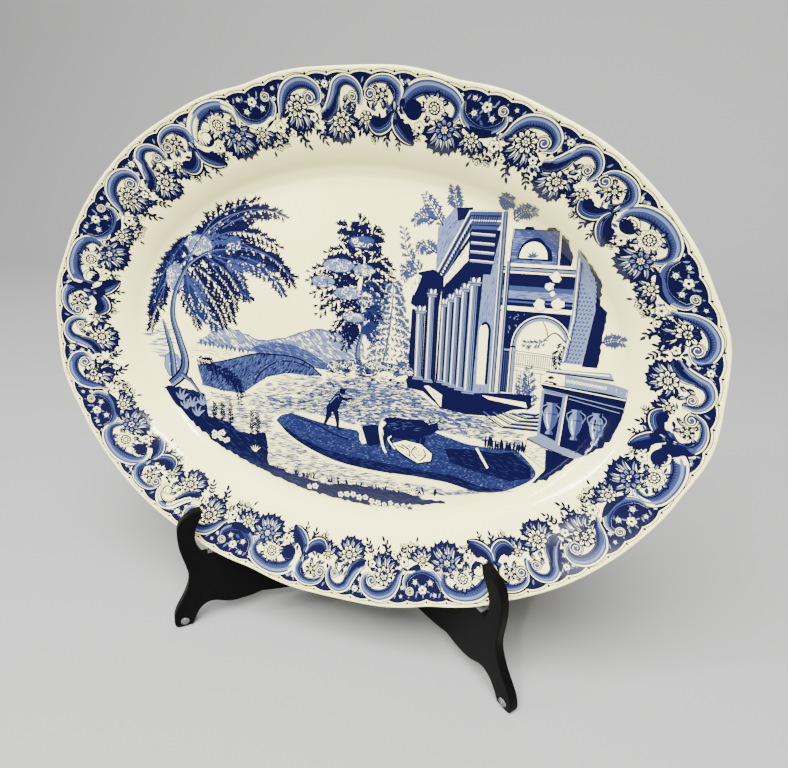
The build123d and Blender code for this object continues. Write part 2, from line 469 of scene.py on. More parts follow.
def scroll(level, path, width, flip=1):
    # a rolled leaf band: dark edge, shaded body, light lip, fine hatching
    path = smoothPath(path, 9)
    n = len(path)
    w = np.interp(np.linspace(0, 1, n), np.linspace(0, 1, len(width)), width)
    ribbon("navy", level, path, w + 1.1)
    ribbon("ivory", level + 0.8, path, w + 0.2)
    ribbon("mid", level + 1.4, path, w * 0.9, -flip * w * 0.07)
    ribbon("pale", level + 2.4, path, w * 0.2, flip * w * 0.14)
    side = pathSides(path)
    ribbon("navy", level + 2.6, path[2:-2], w[2:-2] * 0.1, -flip * w[2:-2] * 0.4)
    for i in range(1, n - 1):
        step = (path[i + 1] - path[i]) * 0.5
        for h in (0, 1):
            a = path[i] + step * h - flip * side[i] * w[i] * 0.48
            b = path[i] + step * h - flip * side[i] * w[i] * (0.06 if i % 2
                else 0.2) + (path[i + 1] - path[i]) * 0.9
            blade("navy", level + 3.0, a, b, 0.3, 0, 0.3, 4)


def volute(level, centre, radius, start, way=1):
    # the curled end of a scroll
    cx, cy = centre
    radius *= 1.2
    disc("navy", level, centre, radius + 0.55, 18)
    disc("ivory", level + 0.8, centre, radius + 0.1, 18)
    disc("mid", level + 1.4, centre, radius * 0.9, 18)
    a = np.linspace(0, 1.35 * turn, 30)
    r = radius * (0.86 - 0.62 * a / a[-1])
    spiral = np.stack([cx + r * np.cos(start + way * a), cy + r * np.sin(start + way * a)], -1)
    ribbon("ivory", level + 2.6, spiral, np.linspace(0.5, 0.26, 30) * radius / 3)
    ribbon("navy", level + 3.4, spiral, np.linspace(0.5, 0.3, 30) * radius / 3, -way * 0.5 * radius / 3)
    for k in range(9):
        b = start + turn * k / 9
        blade("navy", level + 2.2, around(centre, radius * 0.85, b), around(centre, radius * 0.5, b + 0.5),
            0.3, 0, 0.4, 4)


def horn(level, spine, width, way=1):
    # a great curling leaf: dark back, light ribs along the inner side, torn tip
    path = smoothPath(spine, 9)
    n = len(path)
    side = pathSides(path)
    w = swell(n, width, 0.16, 0.5)
    ribbon("navy", level, path, w)
    for i in range(n // 2, n - 2, 3):
        d = path[i + 1] - path[i]
        d /= np.linalg.norm(d)
        blade("navy", level + 0.3, path[i] - side[i] * way * w[i] * 0.2,
            path[i] - side[i] * way * w[i] * 0.72 + d * 1.8, w[i] * 0.4, 0, 0.5, 5)
    ribbon("deep", level + 1, path[2:-3], w[2:-3] * 0.36, way * w[2:-3] * 0.16)
    for k, (u, tone, s) in enumerate(((0.33, "ivory", 0.1), (0.2, "mid", 0.1), (0.1, "pale", 0.07),
                (-0.04, "mid", 0.05))):
        cut = 2 + 2 * k
        ribbon(tone, level + 2 + 0.2 * k, path[1:-cut], np.linspace(1, 0.3, n - 1 - cut) * w[1:-cut] * s,
            way * w[1:-cut] * u)
    ribbon("navy", level + 3.4, path[1:-3], 0.3, way * w[1:-3] * 0.28)
    ribbon("navy", level + 3.4, path[1:-6], 0.26, way * w[1:-6] * 0.13)


# the border
edgeLine = {"inset": 3.5, "bow": 1.25, "width": 0.34}


def swag(a):
    # how far in the edge line lies: bows outwards between the dots
    u = (a / (midArc[-1] / swagCount)) % 1 * 2 - 1
    return edgeLine["inset"] - edgeLine["bow"] * (1 - u * u)


def edgeBand():
    step = midArc[-1] / swagCount
    for k in range(swagCount):
        a = np.linspace(k * step, (k + 1) * step, 11)
        w = swag(a + 1e-6)
        w[-1] = edgeLine["inset"]
        ribbon("navy", 3, np.stack([a, w], -1), edgeLine["width"])
        disc("navy", 5, (k * step, 3.05), 0.55, 8, 0.75)
        disc("navy", 5, (k * step + step / 2, 3.0), 0.22, 6)


def ground(at, inner):
    # the dark field between the scrolls
    n = 221
    a = np.linspace(0, repeatLength, n)
    xs, ws = zip(*inner)
    w = np.interp(a, np.array(xs) * repeatLength / repeatUnits, ws)
    strip("navy", 0, np.stack([a + at, swag(a + at) + 1.05], -1), np.stack([a + at, w], -1), 5)


def borderRepeat(at, rnd):
    k = repeatLength / repeatUnits

    def put(points):
        return [(at + x * k, w) for x, w in points]

    def spot(x, w):
        return (at + x * k, w)

    ground(at, ((0, 15), (4, 8), (14, 8), (17.6, 18), (21, 9), (31, 9), (36, 18), (40, 17), (44, 8), (60, 8),
            (65, 18), (78, 21), (92, 18), (96, 8), (116, 8), (120, 19), (126, 15)))
    # tall arch beside the junction, with a small flower in it
    scroll(6, put(((2.4, 21), (-1.8, 17), (-2.6, 11), (1.6, 7.0), (7.4, 6.2), (12.6, 8.0), (15.2, 12.0))),
        (3.4, 4.6, 4.6, 4.2, 3.6, 2.6, 2.0), -1)
    volute(7, spot(12.6, 13.2), 2.5, 0.6, 1)
    daisy(13, spot(6.2, 13.6), 3.4, 6, 0.3)
    for x, w, tx, tw in ((6.2, 16, 5.2, 20.4), (8.6, 15.6, 12.4, 19.8), (4, 11, 2.2, 8.8),
            (8.4, 11.4, 10.6, 9.2)):
        leaf(11, spot(x, w), spot(tx, tw), 2.1, 0.1)
    # the small scroll and its leafy tail
    scroll(6, put(((18.8, 18), (18.2, 12.5), (20.8, 8.2), (25.6, 6.4), (30.2, 8.6), (32.6, 13.5),
                (36.4, 18.6), (41.8, 21.8))), (1.6, 3.0, 3.8, 4.6, 5.2, 5.6, 4.4, 1.2), -1)
    volute(8, spot(22.2, 14.4), 2.0, 2.0, -1)
    horn(10, put(((30.2, 12.4), (32.4, 19.0), (37.2, 23.6), (42.6, 24.4))), 5.2, 1)
    for x, w, tx, tw in ((25.4, 13, 27.6, 17.6), (23.4, 17, 21.6, 21.6), (26, 17.6, 28.6, 20.4)):
        leaf(9, spot(x, w), spot(tx, tw), 2.2, 0.1)
    for dx, dw, s in ((0, 0, 2.6), (2.6, 5.4, 1.7), (-3.4, -0.4, 1.3), (3.6, -0.6, 1.2)):
        starFlower(3, spot(36.4 + dx, 8.2 + dw), s, dx)
    # first great arch with a dark flower under it
    scroll(6, put(((45.6, 17.2), (41.8, 14.8), (42.0, 10.2), (46.2, 7.0), (52, 6.4), (58, 8.6), (61.8, 12.8),
                (64.2, 17.6), (67.2, 21.4))), (2.0, 3.6, 4.8, 5.6, 6.0, 5.8, 4.8, 3.2, 0.8), -1)
    volute(8, spot(46.6, 14.2), 2.7, 1.0, -1)
    daisy(14, spot(54.4, 17.2), 5.4, 9, 0.2)
    # the bowl between the two great arches, with light flowers on the dark field
    scroll(7, put(((68.6, 10.6), (68.2, 14.6), (71.8, 18.8), (78.2, 21.0), (84.6, 19.2), (89.0, 15.0),
                (89.8, 9.0))), (1.4, 3.2, 4.4, 5.0, 4.6, 3.2, 1.0), 1)
    volute(8, spot(70.6, 9.2), 1.9, 3.6, 1)
    starFlower(4, spot(78.6, 9.6), 3.6, 0.3)
    for x, w, s in ((83.8, 13.4, 2.0), (74.4, 14.0, 1.9), (85.4, 6.8, 1.5), (91.6, 12.0, 1.5),
            (66.2, 11.4, 1.5), (65.0, 6.8, 1.2), (91.8, 6.6, 1.2)):
        starFlower(4, spot(x, w), s, x)
    for x in (61.0, 69.6, 74.0, 82.8, 87.8, 95.0, 119.4, 31.8, 40.8, 15.8):
        blade("pale", 3, spot(x, 5.4), spot(x + 1.2, 8.2), 0.9, 0.1, 0.5, 5)
    # second great arch over the full rosette
    scroll(6, put(((97.4, 21.2), (92.4, 17.8), (91.6, 12.0), (96.0, 7.6), (103.0, 6.2), (110.6, 7.2),
                (116.8, 10.6), (120.6, 16.0), (119.4, 21.0))), (1.2, 3.0, 4.6, 6.0, 6.8, 7.2, 7.0, 5.8, 4.2),
        -1)
    volute(8, spot(115.0, 18.6), 3.6, 0.2, 1)
    volute(7, spot(95.6, 20.4), 2.2, 2.6, -1)
    rosette(14, spot(104.0, 15.6), 4.9)
    for ang in (0.3, 1.1, 2.0, 2.9, 3.8, 4.6, 5.5):
        base = (at + 104.0 * k + 4.2 * math.cos(ang), 15.6 + 4.2 * math.sin(ang))
        leaf(11, base, around(base, 4.4, ang), 2.8, 0.1)
    # light flowers on the wedge over the junction
    starFlower(4, spot(123.0, 8.0), 3.0, 0.4)
    for x, w, s in ((124.6, 13.8, 1.7), (118.6, 6.6, 1.1), (127.4, 6.6, 1.1)):
        starFlower(4, spot(x, w), s, x)
    # the pair of great leaves that meet at the junction
    horn(17, put(((124.6, 20.4), (123.6, 26.4), (118.8, 31.2), (112.6, 34.6))), 8.8, -1)
    horn(16, put(((126.0, 20.4), (129.2, 26.6), (135.8, 28.8), (141.0, 23.6))), 8.8, 1)
    leaf(19, spot(125.2, 15.4), spot(125.4, 22.6), 3.2, 0.0)
    # the jagged lower row: flowers, leaf clusters, buds, sprigs and berries
    sprig(9, put(((127, 27), (129.6, 31), (129.4, 34.6))), 3, 2.8)
    sprig(9, put(((129, 29), (134.4, 32.0), (138.6, 34.6))), 3, 2.4, ends="berry")
    sprig(9, put(((121, 31), (122.6, 34), (122.0, 36.6))), 2, 2.2)
    daisy(18, spot(30.2, 26.2), 5.2, 9, 0.15)
    clusters = (
        ((30, 28, 23.0, 34.2, 5.0), (31.6, 29, 32.6, 37.4, 5.4), (27, 25, 19.4, 26.8, 4.6),
            (34.6, 27, 41.8, 32.6, 5.2), (29, 30, 27.0, 37.0, 4.2), (34, 28, 38.2, 36.0, 4.4),
            (27.4, 23, 21.4, 21.8, 3.4), (34.6, 24.6, 42.0, 27.4, 3.4)),
        ((53, 21, 47.6, 29.0, 4.6), (55, 21.6, 55.4, 31.0, 5.0), (50.6, 20, 43.2, 24.6, 4.4),
            (57.8, 21, 63.8, 26.6, 4.6), (59.4, 17.6, 65.4, 21.0, 3.0), (56, 22, 60.2, 30.2, 4.0),
            (52, 21.6, 50.8, 31.6, 3.4)),
        ((94.4, 25.6, 87.0, 33.8, 5.8), (97, 26.6, 95.4, 37.0, 6.2), (99.6, 25.6, 104.8, 35.0, 5.8),
            (92.4, 23.8, 84.2, 27.0, 4.6), (100.6, 23.4, 108.8, 28.8, 5.0), (92, 21.4, 86.2, 21.0, 3.0),
            (98, 26.4, 100.4, 37.0, 4.4), (95.4, 26.4, 90.4, 36.2, 4.2)),
        ((80.4, 27, 77.8, 33.8, 4.0), (83.4, 26, 88.6, 30.8, 4.2), (78, 25.4, 72.6, 29.8, 3.8),
            (82, 27, 83.6, 34.4, 4.0)),
        ((14, 24, 10.4, 30.8, 4.0), (15.6, 24.6, 16.2, 33.0, 4.2), (17.4, 23.6, 21.4, 30.4, 3.6)),
    )
    for cluster in clusters:
        for x, w, tx, tw, s in cluster:
            leaf(12, spot(x, w), spot(tx, tw), s, 0.1)
    daisy(15, spot(15.6, 24.0), 3.3, 7, 0.5)
    daisy(16, spot(80.8, 26.0), 3.9, 8, 0.1)
    daisy(18, spot(96.4, 24.0), 5.0, 8, 0.3, "pale")
    sprig(8, put(((55.6, 28), (57.2, 32.0), (54.6, 36.0))), 3, 3.0)
    sprig(8, put(((62, 25), (67.2, 29.6), (68.8, 34.4))), 4, 2.6, ends="berry")
    sprig(8, put(((47, 27), (45.0, 31.4), (42.6, 35.0))), 3, 2.6)
    sprig(8, put(((70, 24), (72.6, 29.6), (73.6, 35.6))), 3, 2.6, ends="berry")
    sprig(8, put(((78, 24), (76.0, 30.0), (78.0, 36.0))), 3, 2.6)
    sprig(8, put(((106, 24), (111.0, 27.6), (111.6, 32.0))), 3, 2.6, ends="berry")
    roundFlower(13, spot(68.2, 25.2), 3.2, 5, 0.6)
    roundFlower(14, spot(110.6, 26.0), 3.0, 5, 0.9)
    roundFlower(14, spot(46.6, 23.2), 2.4, 5, 0.3)
    roundFlower(14, spot(61.4, 29.4), 2.0, 5, 0.9)
    for i in range(120):
        # small sprays that fill the gaps
        x, w = rnd.uniform(0, repeatUnits), rnd.uniform(13, 31)
        a = rnd.uniform(0.1, math.pi - 0.1)
        tip = spot(x + 3.8 * math.cos(a), w + 3.8 * math.sin(a))
        blade(rnd.choice(("navy", "navy", "deep", "mid")), 3, spot(x, w), tip, rnd.uniform(1.2, 2.1),
            rnd.uniform(-0.2, 0.2), 0.5, 5)


def buildBorder():
    rnd = random.Random(11)
    edgeBand()
    for r in range(repeats):
        borderRepeat(r * repeatLength, rnd)


buildBorder()
print("border drawn")


# the picture in the well: a river, a herd and ruins
def inside(points, x, y):
    odd = False
    n = len(points)
    for i in range(n):
        (x1, y1), (x2, y2) = points[i], points[(i + 1) % n]
        if (y1 > y) != (y2 > y) and x < (x2 - x1) * (y - y1) / (y2 - y1) + x1:
            odd = not odd
    return odd


def scatter(points, count, rnd):
    xs, ys = zip(*points)
    made = []
    for i in range(count * 20):
        x, y = rnd.uniform(min(xs), max(xs)), rnd.uniform(min(ys), max(ys))
        if inside(points, x, y):
            made.append((x, y))
        if len(made) == count:
            break
    return made


def fill(tone, level, points):
    polygon(tone, level, points, 2.6)


def strokes(points, count, tone, level, length, width, tilt, rnd, wander=0.25):
    for x, y in scatter(points, count, rnd):
        a = tilt + rnd.uniform(-wander, wander)
        long = length * rnd.uniform(0.5, 1.2)
        blade(tone, level, around((x, y), -long / 2, a), around((x, y), long / 2, a),
            width * rnd.uniform(0.7, 1.2), rnd.uniform(-0.08, 0.08), 0.5, 4)


def hatched(tone, level, points, count, line, length, width, tilt, rnd, wander=0.25):
    # a flat shape with strokes over it
    fill(tone, level, points)
    strokes(points, count, line, level + 1, length, width, tilt, rnd, wander)


def jagged(points, depth, step, rnd):
    # roughens an open outline
    made = []
    for (x1, y1), (x2, y2) in zip(points[:-1], points[1:]):
        n = max(1, int(math.hypot(x2 - x1, y2 - y1) / step))
        for i in range(n):
            u = i / n
            made.append((x1 + (x2 - x1) * u + rnd.uniform(-0.3, 0.3) * step,
                    y1 + (y2 - y1) * u + rnd.uniform(-depth, depth)))
    made.append(points[-1])
    return made


def frond(level, spine, reach, count, tone, rnd, droop=0.6, stem="mid"):
    # a hanging branch: leaf strokes on both sides of a curved stem
    path = smoothPath(spine, 10)
    for i in range(count):
        u = (i + rnd.random()) / count
        k = min(int(u * (len(path) - 1)), len(path) - 2)
        d = path[k + 1] - path[k]
        d /= max(np.linalg.norm(d), 1e-9)
        side = np.array([-d[1], d[0]]) * (1 if i % 2 else -1)
        size = reach * (0.55 + 0.6 * math.sin(math.pi * min(1, 0.25 + 0.75 * u))) * rnd.uniform(0.75, 1.15)
        aim = d * 0.75 + side * 0.8 + np.array([0, -droop * rnd.uniform(0.4, 1.2)])
        aim /= np.linalg.norm(aim)
        tip = path[k] + aim * size
        blade(tone, level, path[k], tip, size * 0.3, 0.1 if i % 2 else -0.1, 0.5, 5)
        for s in (0.45, 0.75):
            joint = path[k] + aim * size * s
            for sgn in (1, -1):
                off = np.array([aim[0] * 0.7 - sgn * aim[1] * 0.7, aim[1] * 0.7 + sgn * aim[0] * 0.7])
                blade(tone, level + 0.3, joint, joint + off * size * 0.4, size * 0.17, 0, 0.5, 4)
    if stem:
        ribbon(stem, level + 2, path, np.linspace(0.9, 0.3, len(path)))


def cloud(level, centre, rx, ry, tone, dark, rnd, curls=26):
    # a rounded clump of foliage drawn with small curls
    cx, cy = centre
    rim = [(cx + rx * math.cos(a) * rnd.uniform(0.88, 1.1), cy + ry * math.sin(a) * rnd.uniform(0.88, 1.1))
        for a in np.linspace(0, turn, 22, endpoint=False)]
    fill(dark, level, [(cx + (x - cx) * 1.1, cy + (y - cy) * 1.1) for x, y in rim])
    fill(tone, level + 1, rim)
    for x, y in scatter(rim, curls, rnd):
        r, a0 = rnd.uniform(0.7, 1.5), rnd.uniform(0, turn)
        a = np.linspace(a0, a0 + 3.4, 7)
        ribbon(dark if rnd.random() < 0.6 else "ivory", level + 2,
            np.stack([x + r * np.cos(a), y + r * np.sin(a)], -1), 0.34)


def trunk(level, spine, width):
    path = smoothPath(spine, 8)
    w = np.interp(np.linspace(0, 1, len(path)), np.linspace(0, 1, len(width)), width)
    ribbon("navy", level, path, w)
    ribbon("pale", level + 1, path, w * 0.3, -w * 0.16)
    ribbon("mid", level + 1.4, path, w * 0.26, w * 0.16)
    side = pathSides(path)
    for i in range(1, len(path) - 1):
        blade("navy", level + 2, path[i] - side[i] * w[i] * 0.3,
            path[i] + side[i] * w[i] * 0.2 + (path[i + 1] - path[i]), 0.35, 0.2, 0.5, 4)


def drawArchingTree(rnd):
    fronds = (
        ((-118, 48), (-97, 66), (-74, 79), (-49, 79), 8.0, 34),
        ((-112, 54), (-96, 73), (-80, 81), (-64, 85), 6.5, 26),
        ((-100, 60), (-84, 66), (-66, 65), (-50, 58), 6.6, 30),
        ((-112, 48), (-90, 55), (-62, 54), (-40, 40), 7.4, 40),
        ((-78, 52), (-62, 47), (-52, 36), (-48, 30), 5.8, 22),
        ((-96, 50), (-82, 44), (-76, 34), (-74, 26), 6.2, 24),
        ((-110, 44), (-98, 36), (-88, 22), (-84, 10), 6.6, 28),
        ((-118, 40), (-110, 26), (-100, 12), (-98, 4), 6.6, 28),
        ((-126, 40), (-120, 24), (-113, 12), (-109, 3), 5.4, 22),
        ((-108, 66), (-124, 52), (-138, 34), (-145, 16), 6.4, 34),
        ((-130, 38), (-138, 22), (-144, 10), (-147, 0), 6.2, 26),
        ((-118, 60), (-128, 46), (-134, 30), (-137, 14), 5.8, 24),
        ((-116, 46), (-104, 60), (-90, 71), (-66, 75), 7.0, 34),
        ((-106, 56), (-94, 60), (-78, 60), (-60, 53), 6.8, 34),
        ((-104, 52), (-88, 50), (-70, 47), (-56, 38), 6.6, 32),
        ((-102, 50), (-88, 42), (-80, 32), (-70, 25), 6.4, 28),
        ((-114, 50), (-128, 38), (-140, 24), (-147, 10), 6.6, 36),
        ((-112, 62), (-122, 56), (-132, 42), (-140, 26), 6.4, 34),
        ((-118, 44), (-116, 30), (-112, 16), (-106, 8), 6.4, 30),
        ((-112, 42), (-102, 28), (-94, 16), (-90, 6), 6.4, 30),
        ((-100, 47), (-92, 38), (-84, 28), (-82, 18), 6.0, 24),
        ((-86, 58), (-66, 56), (-50, 48), (-42, 36), 6.8, 34),
        ((-90, 68), (-74, 76), (-60, 80), (-46, 76), 6.4, 30),
    )
    for *spine, reach, count in fronds:
        frond(8, spine, reach, count, "navy" if rnd.random() < 0.8 else "deep", rnd)
    for spine in (((-104, 58), (-94, 62), (-84, 60)), ((-116, 36), (-108, 30), (-104, 20)),
            ((-88, 46), (-80, 47), (-70, 44))):
        frond(11, spine, 4.6, 16, "mid", rnd, 0.4, None)
    cloud(13, (-107, 57), 9.5, 6.4, "pale", "mid", rnd, 60)
    cloud(13, (-126, 36), 6.6, 8.4, "pale", "mid", rnd, 50)
    cloud(13, (-82, 59), 5.4, 4.6, "mid", "deep", rnd, 20)
    trunk(16, ((-133, -36), (-124, -28), (-121, -18), (-125, -4), (-129, 10), (-127, 24), (-120, 38),
            (-112, 47), (-98, 54), (-86, 56)), (6.5, 7.5, 6.4, 5.4, 4.4, 3.6, 3, 2.2, 1.4, 0.7))
    trunk(15, ((-130, -30), (-131, -14), (-134, -2), (-137, 8)), (5.0, 4.4, 3.4, 1.2))
    trunk(15, ((-118, 40), (-110, 56), (-98, 68), (-84, 76), (-68, 80)), (2.0, 1.6, 1.3, 1.0, 0.5))
    cloud(12, (-131, -22), 6.6, 8.0, "pale", "mid", rnd, 12)
    trunk(17, ((-124, -28), (-116, -33), (-108, -42)), (3.6, 2.6, 1.2))


def drawFarLand(rnd):
    # far hills, near hill and the water between
    far = [(-112, -6)] + jagged([(-100, 3), (-90, 7), (-80, 5), (-70, 1), (-56, 1), (-44, 5), (-30, 10),
            (-16, 11), (2, 10), (6, -4)], 0.8, 3, rnd) + [(-20, -14), (-60, -8)]
    fill("pale", 0, far)
    strokes(far, 420, "mid", 1, 4.6, 0.42, -0.7, rnd)
    strokes(far, 230, "ivory", 1.5, 4.0, 0.5, -0.6, rnd)
    ribbon("mid", 2, far[1:-3], 0.7)
    middle = [(-74, -7), (-66, -3), (-55, 0), (-44, 0), (-33, -3), (-22, -8), (-14, -14), (-24, -14),
        (-46, -10)]
    fill("mid", 3, middle)
    strokes(middle, 90, "pale", 4, 4.2, 0.4, -0.4, rnd)
    strokes(middle, 90, "deep", 4.5, 3.6, 0.36, -0.4, rnd)
    dark = [(-112, -20), (-100, -18), (-86, -14), (-70, -9), (-56, -8), (-43, -8), (-32, -11), (-22, -18),
        (-30, -19), (-46, -19), (-60, -23), (-70, -30), (-78, -36), (-92, -36), (-108, -34)]
    fill("mid", 5, dark)
    strokes(dark, 560, "navy", 6, 3.2, 0.46, 0.9, rnd)
    strokes(dark, 110, "pale", 6.5, 2.6, 0.34, 0.9, rnd)
    ribbon("navy", 7, smoothPath(dark[1:8], 5), 0.9)
    ribbon("navy", 7, smoothPath([(-70, -29), (-64, -20), (-54, -13), (-42, -11), (-30, -14)], 6), 0.8)
    field = [(-116, -6), (-100, -6), (-80, -9), (-66, -9), (-72, -13), (-88, -16), (-104, -18), (-116, -16)]
    strokes(field, 60, "mid", 3, 6.0, 0.3, -0.1, rnd, 0.1)
    for x, y, h in [(-108 + 3.1 * i, -6.4 - 0.2 * i, 4.6 - 0.12 * i) for i in range(12)]:
        for k in range(5):
            blade("mid", 4, (x, y - 1), (x + rnd.uniform(-1.6, 1.6), y + h * rnd.uniform(0.5, 1)), 0.9)
    mist = [(-150, -2), (-134, 6), (-128, -6), (-132, -20), (-144, -18)]
    strokes(mist, 60, "pale", 1, 9, 0.7, 0.05, rnd, 0.1)
    river = [(-104, -38), (-78, -38), (-64, -30), (-50, -20), (-20, -19), (-6, -14), (34, -16), (40, -22),
        (52, -28), (84, -32), (104, -36), (100, -48), (60, -42), (20, -46), (-30, -40), (-56, -50),
        (-62, -84), (-30, -90), (20, -90), (60, -84), (100, -74), (60, -80), (20, -78), (-20, -74),
        (-52, -58), (-60, -62), (-76, -64), (-104, -56)]
    strokes(river, 1700, "mid", 1, 5.2, 0.46, 0.1, rnd, 0.16)
    strokes(river, 900, "pale", 0.4, 6.4, 0.7, 0.06, rnd, 0.16)
    strokes(river, 420, "deep", 2, 4.0, 0.4, 0.1, rnd, 0.16)
    reach = [(-60, -37), (-36, -34), (-20, -22), (0, -18), (34, -18), (50, -28), (84, -34), (88, -46),
        (50, -43), (10, -48), (-20, -44), (-44, -42), (-56, -44)]
    fill("pale", 0.1, reach)
    strokes(reach, 900, "ivory", 1.2, 5.0, 0.6, 0.05, rnd, 0.2)
    strokes(reach, 1300, "mid", 1.6, 4.6, 0.52, 0.05, rnd, 0.2)
    strokes(reach, 800, "deep", 2.4, 3.4, 0.38, 0.05, rnd, 0.2)


def drawMiddleTrees(rnd):
    trunk(6, ((2, -14), (1, 0), (4, 14), (2, 28), (4, 44), (2, 60)), (3.4, 2.6, 2.2, 1.8, 1.3, 0.6))
    for sx, sy, tx, ty in ((2, 58, -12, 70), (2, 58, 14, 66), (3, 50, -20, 54), (3, 50, 22, 46),
            (3, 44, -32, 42), (2, 38, -30, 34), (3, 34, -26, 22), (3, 40, 18, 32), (3, 26, -16, 8),
            (4, 24, 14, 22), (2, 16, -8, 2), (3, 60, 0, 74), (3, 14, 12, 10)):
        mid = ((sx + tx) / 2, (sy + ty) / 2 + 4)
        for lift in (-2.5, 2.5):
            frond(8, ((sx, sy), (mid[0], mid[1] + lift), (tx, ty + lift)), 5.6, 17,
                "navy" if rnd.random() < 0.8 else "deep", rnd, 0.5, None)
    for cx, cy, rx, ry, t in ((2, 64, 7.5, 3.4, "mid"), (-12, 50, 9.5, 3.8, "pale"),
            (-22, 40, 7.0, 3.4, "pale"), (4, 48, 6.4, 3.4, "pale"), (-6, 34, 8.5, 3.6, "pale"),
            (6, 30, 5.6, 2.8, "mid"), (-2, 20, 7.4, 2.8, "pale")):
        cloud(11, (cx, cy), rx, ry, t, "deep", rnd, 24)
    for k in range(9):
        y = 42 - 6.2 * k
        for s in (1, -1):
            frond(5, ((22, y), (22 + s * (3 + k), y - 1.5), (22 + s * (4 + 1.6 * k), y - 4)), 3.6, 15, "mid",
                rnd, 0.2, None)
    trunk(5, ((16, -12), (20, 8), (22, 28), (22.5, 44)), (1.6, 1.2, 0.9, 0.4))
    for k in range(16):
        x, y = -16 + 3.3 * k, -11 + rnd.uniform(-3, 3) + 0.1 * k
        cloud(9, (x, y), rnd.uniform(2.6, 4.4), rnd.uniform(2.2, 3.4), rnd.choice(("mid", "pale", "mid")),
            "navy", rnd, 12)
    bank = [(-20, -15), (0, -17), (34, -19), (34, -15), (0, -12), (-18, -12)]
    strokes(bank, 70, "navy", 12, 3.4, 0.7, 0, rnd)


def column(x, low, high, width, level):
    # a round shaft with flutes, base and capital
    body = [(x - width / 2, low), (x + width / 2, low), (x + width / 2 * 0.92, high),
        (x - width / 2 * 0.92, high)]
    fill("pale", level, body)
    for k in range(4):
        u = 0.12 + 0.2 * k
        ribbon("mid" if k < 1 else "deep", level + 1,
            [(x + width * (u - 0.3), low), (x + width * (u - 0.3) * 0.94, high)], width * (0.05 + 0.035 * k))
    ribbon("ivory", level + 1.3, [(x - width * 0.3, low), (x - width * 0.28, high)], width * 0.14)
    ribbon("navy", level + 1.6, [(x + width * 0.46, low), (x + width * 0.43, high)], width * 0.16)
    for y, s in ((low, 1.35), (low + 1, 1.15), (high, 1.2), (high + 1.3, 1.45)):
        ribbon("pale", level + 2, [(x - width / 2 * s, y), (x + width / 2 * s, y)], 0.95)
        ribbon("navy", level + 2.4, [(x - width / 2 * s, y - 0.55), (x + width / 2 * s, y - 0.55)], 0.32)
    for k in range(4):
        blade("ivory" if k % 2 else "mid", level + 3, (x + width * (k - 1.5) * 0.2, high + 1.4),
            (x + width * (k - 1.5) * 0.34, high + 4.2), width * 0.3)


def bands(left, right, rows, level):
    # stacked mouldings between two upright edges; each row is top, bottom, tone
    for top, low, tone in rows:
        fill(tone, level, [(left, low), (right, low), (right, top), (left, top)])


def drawBrokenEnd(rnd):
    # broken left end with its column and pilaster
    fill("navy", 6, [(33, 31), (35, 42), (37, 49), (45, 51), (52, 50), (50, 30), (46, 28), (38, 28)])
    hatched("ivory", 7, [(32, 38), (36, 48), (39, 47), (35, 36)], 20, "mid", 3, 0.3, 1.2, rnd)
    fill("navy", 6, [(33, -14), (37, -14), (37, 28), (34, 28)])
    fill("navy", 6, [(42, -15), (50, -15), (50, 42), (42, 36)])
    column(39.4, -13, 26, 4.8, 8)
    column(45.6, -14, 36, 4.2, 8)


def drawLongSide(rnd):
    # the long side: great cornice seen from below and its row of columns
    hatched("pale", 6, [(47, 50), (47, 74), (56, 85), (64, 85), (62, 70)], 120, "mid", 3.4, 0.3, 1.1, rnd,
        0.1)
    fill("navy", 8, [(57, 85), (66, 85.5), (66, 80), (58, 78)])
    fill("mid", 9, [(48, 50), (64, 84), (84, 84.5), (84, 80.5), (80, 74), (66, 74), (52, 47)])
    for s in (0.0, 0.28, 0.55, 0.82):
        ribbon("ivory" if s in (0.0, 0.55) else "navy", 10,
            [(48 + 4 * s, 50 - 3 * s), (64.5 + 1.5 * s, 83.5 - 9 * s), (84 - 4 * s, 84 - 9.6 * s)], 0.7)
    for i in range(16):
        u = i / 16
        blade("navy", 11, (50 + 15.4 * u, 50 + 29 * u), (51.6 + 14.6 * u, 48.4 + 27 * u), 0.8, 0, 0.5, 4)
    for i in range(11):
        blade("navy", 11, (67 + 1.3 * i, 82.4), (66.4 + 1.2 * i, 76), 0.6, 0, 0.5, 4)
    fill("navy", 8, [(65, 74), (82, 74), (80, 49), (65, 49)])
    for k in range(4):
        ribbon("pale", 9, [(66, 71.5 - 4.8 * k), (79, 71.0 - 4.8 * k)], 1.5)
        ribbon("ivory", 9.6, [(66, 71.9 - 4.8 * k), (79, 71.4 - 4.8 * k)], 0.4)
    fill("navy", 8, [(51, 36), (51, 48), (66, 72), (66, 46)])
    hatched("ivory", 9, [(52, 42), (52, 47), (65, 67), (65, 57)], 40, "mid", 3.4, 0.26, 1.0, rnd, 0.1)
    fill("navy", 7, [(50, -16), (74, -20), (74, 50), (66, 50), (51, 36)])
    for x, low, high, w in ((52.8, -13.5, 31, 3.0), (56.4, -14.5, 34, 3.2), (60.2, -15.5, 37, 3.5),
            (64.4, -16.6, 40.5, 4.0), (69.6, -18, 44, 5.2)):
        column(x, low, high, w, 11)


def drawSideDoor(rnd):
    # side door with a small round head
    hatched("pale", 8, [(72, -18), (82, -18), (82, 50), (74, 50)], 90, "mid", 4, 0.3, 1.5, rnd, 0.06)
    arch = [(74 + 0.2, -12)] + bow((76.4, 18), 2.6, 5, math.pi, 0, 9) + [(79, -12)]
    fill("ivory", 10, arch)
    ribbon("navy", 11, [(p[0] + 0.8, p[1] + 0.4) for p in arch[3:]], 1.5)


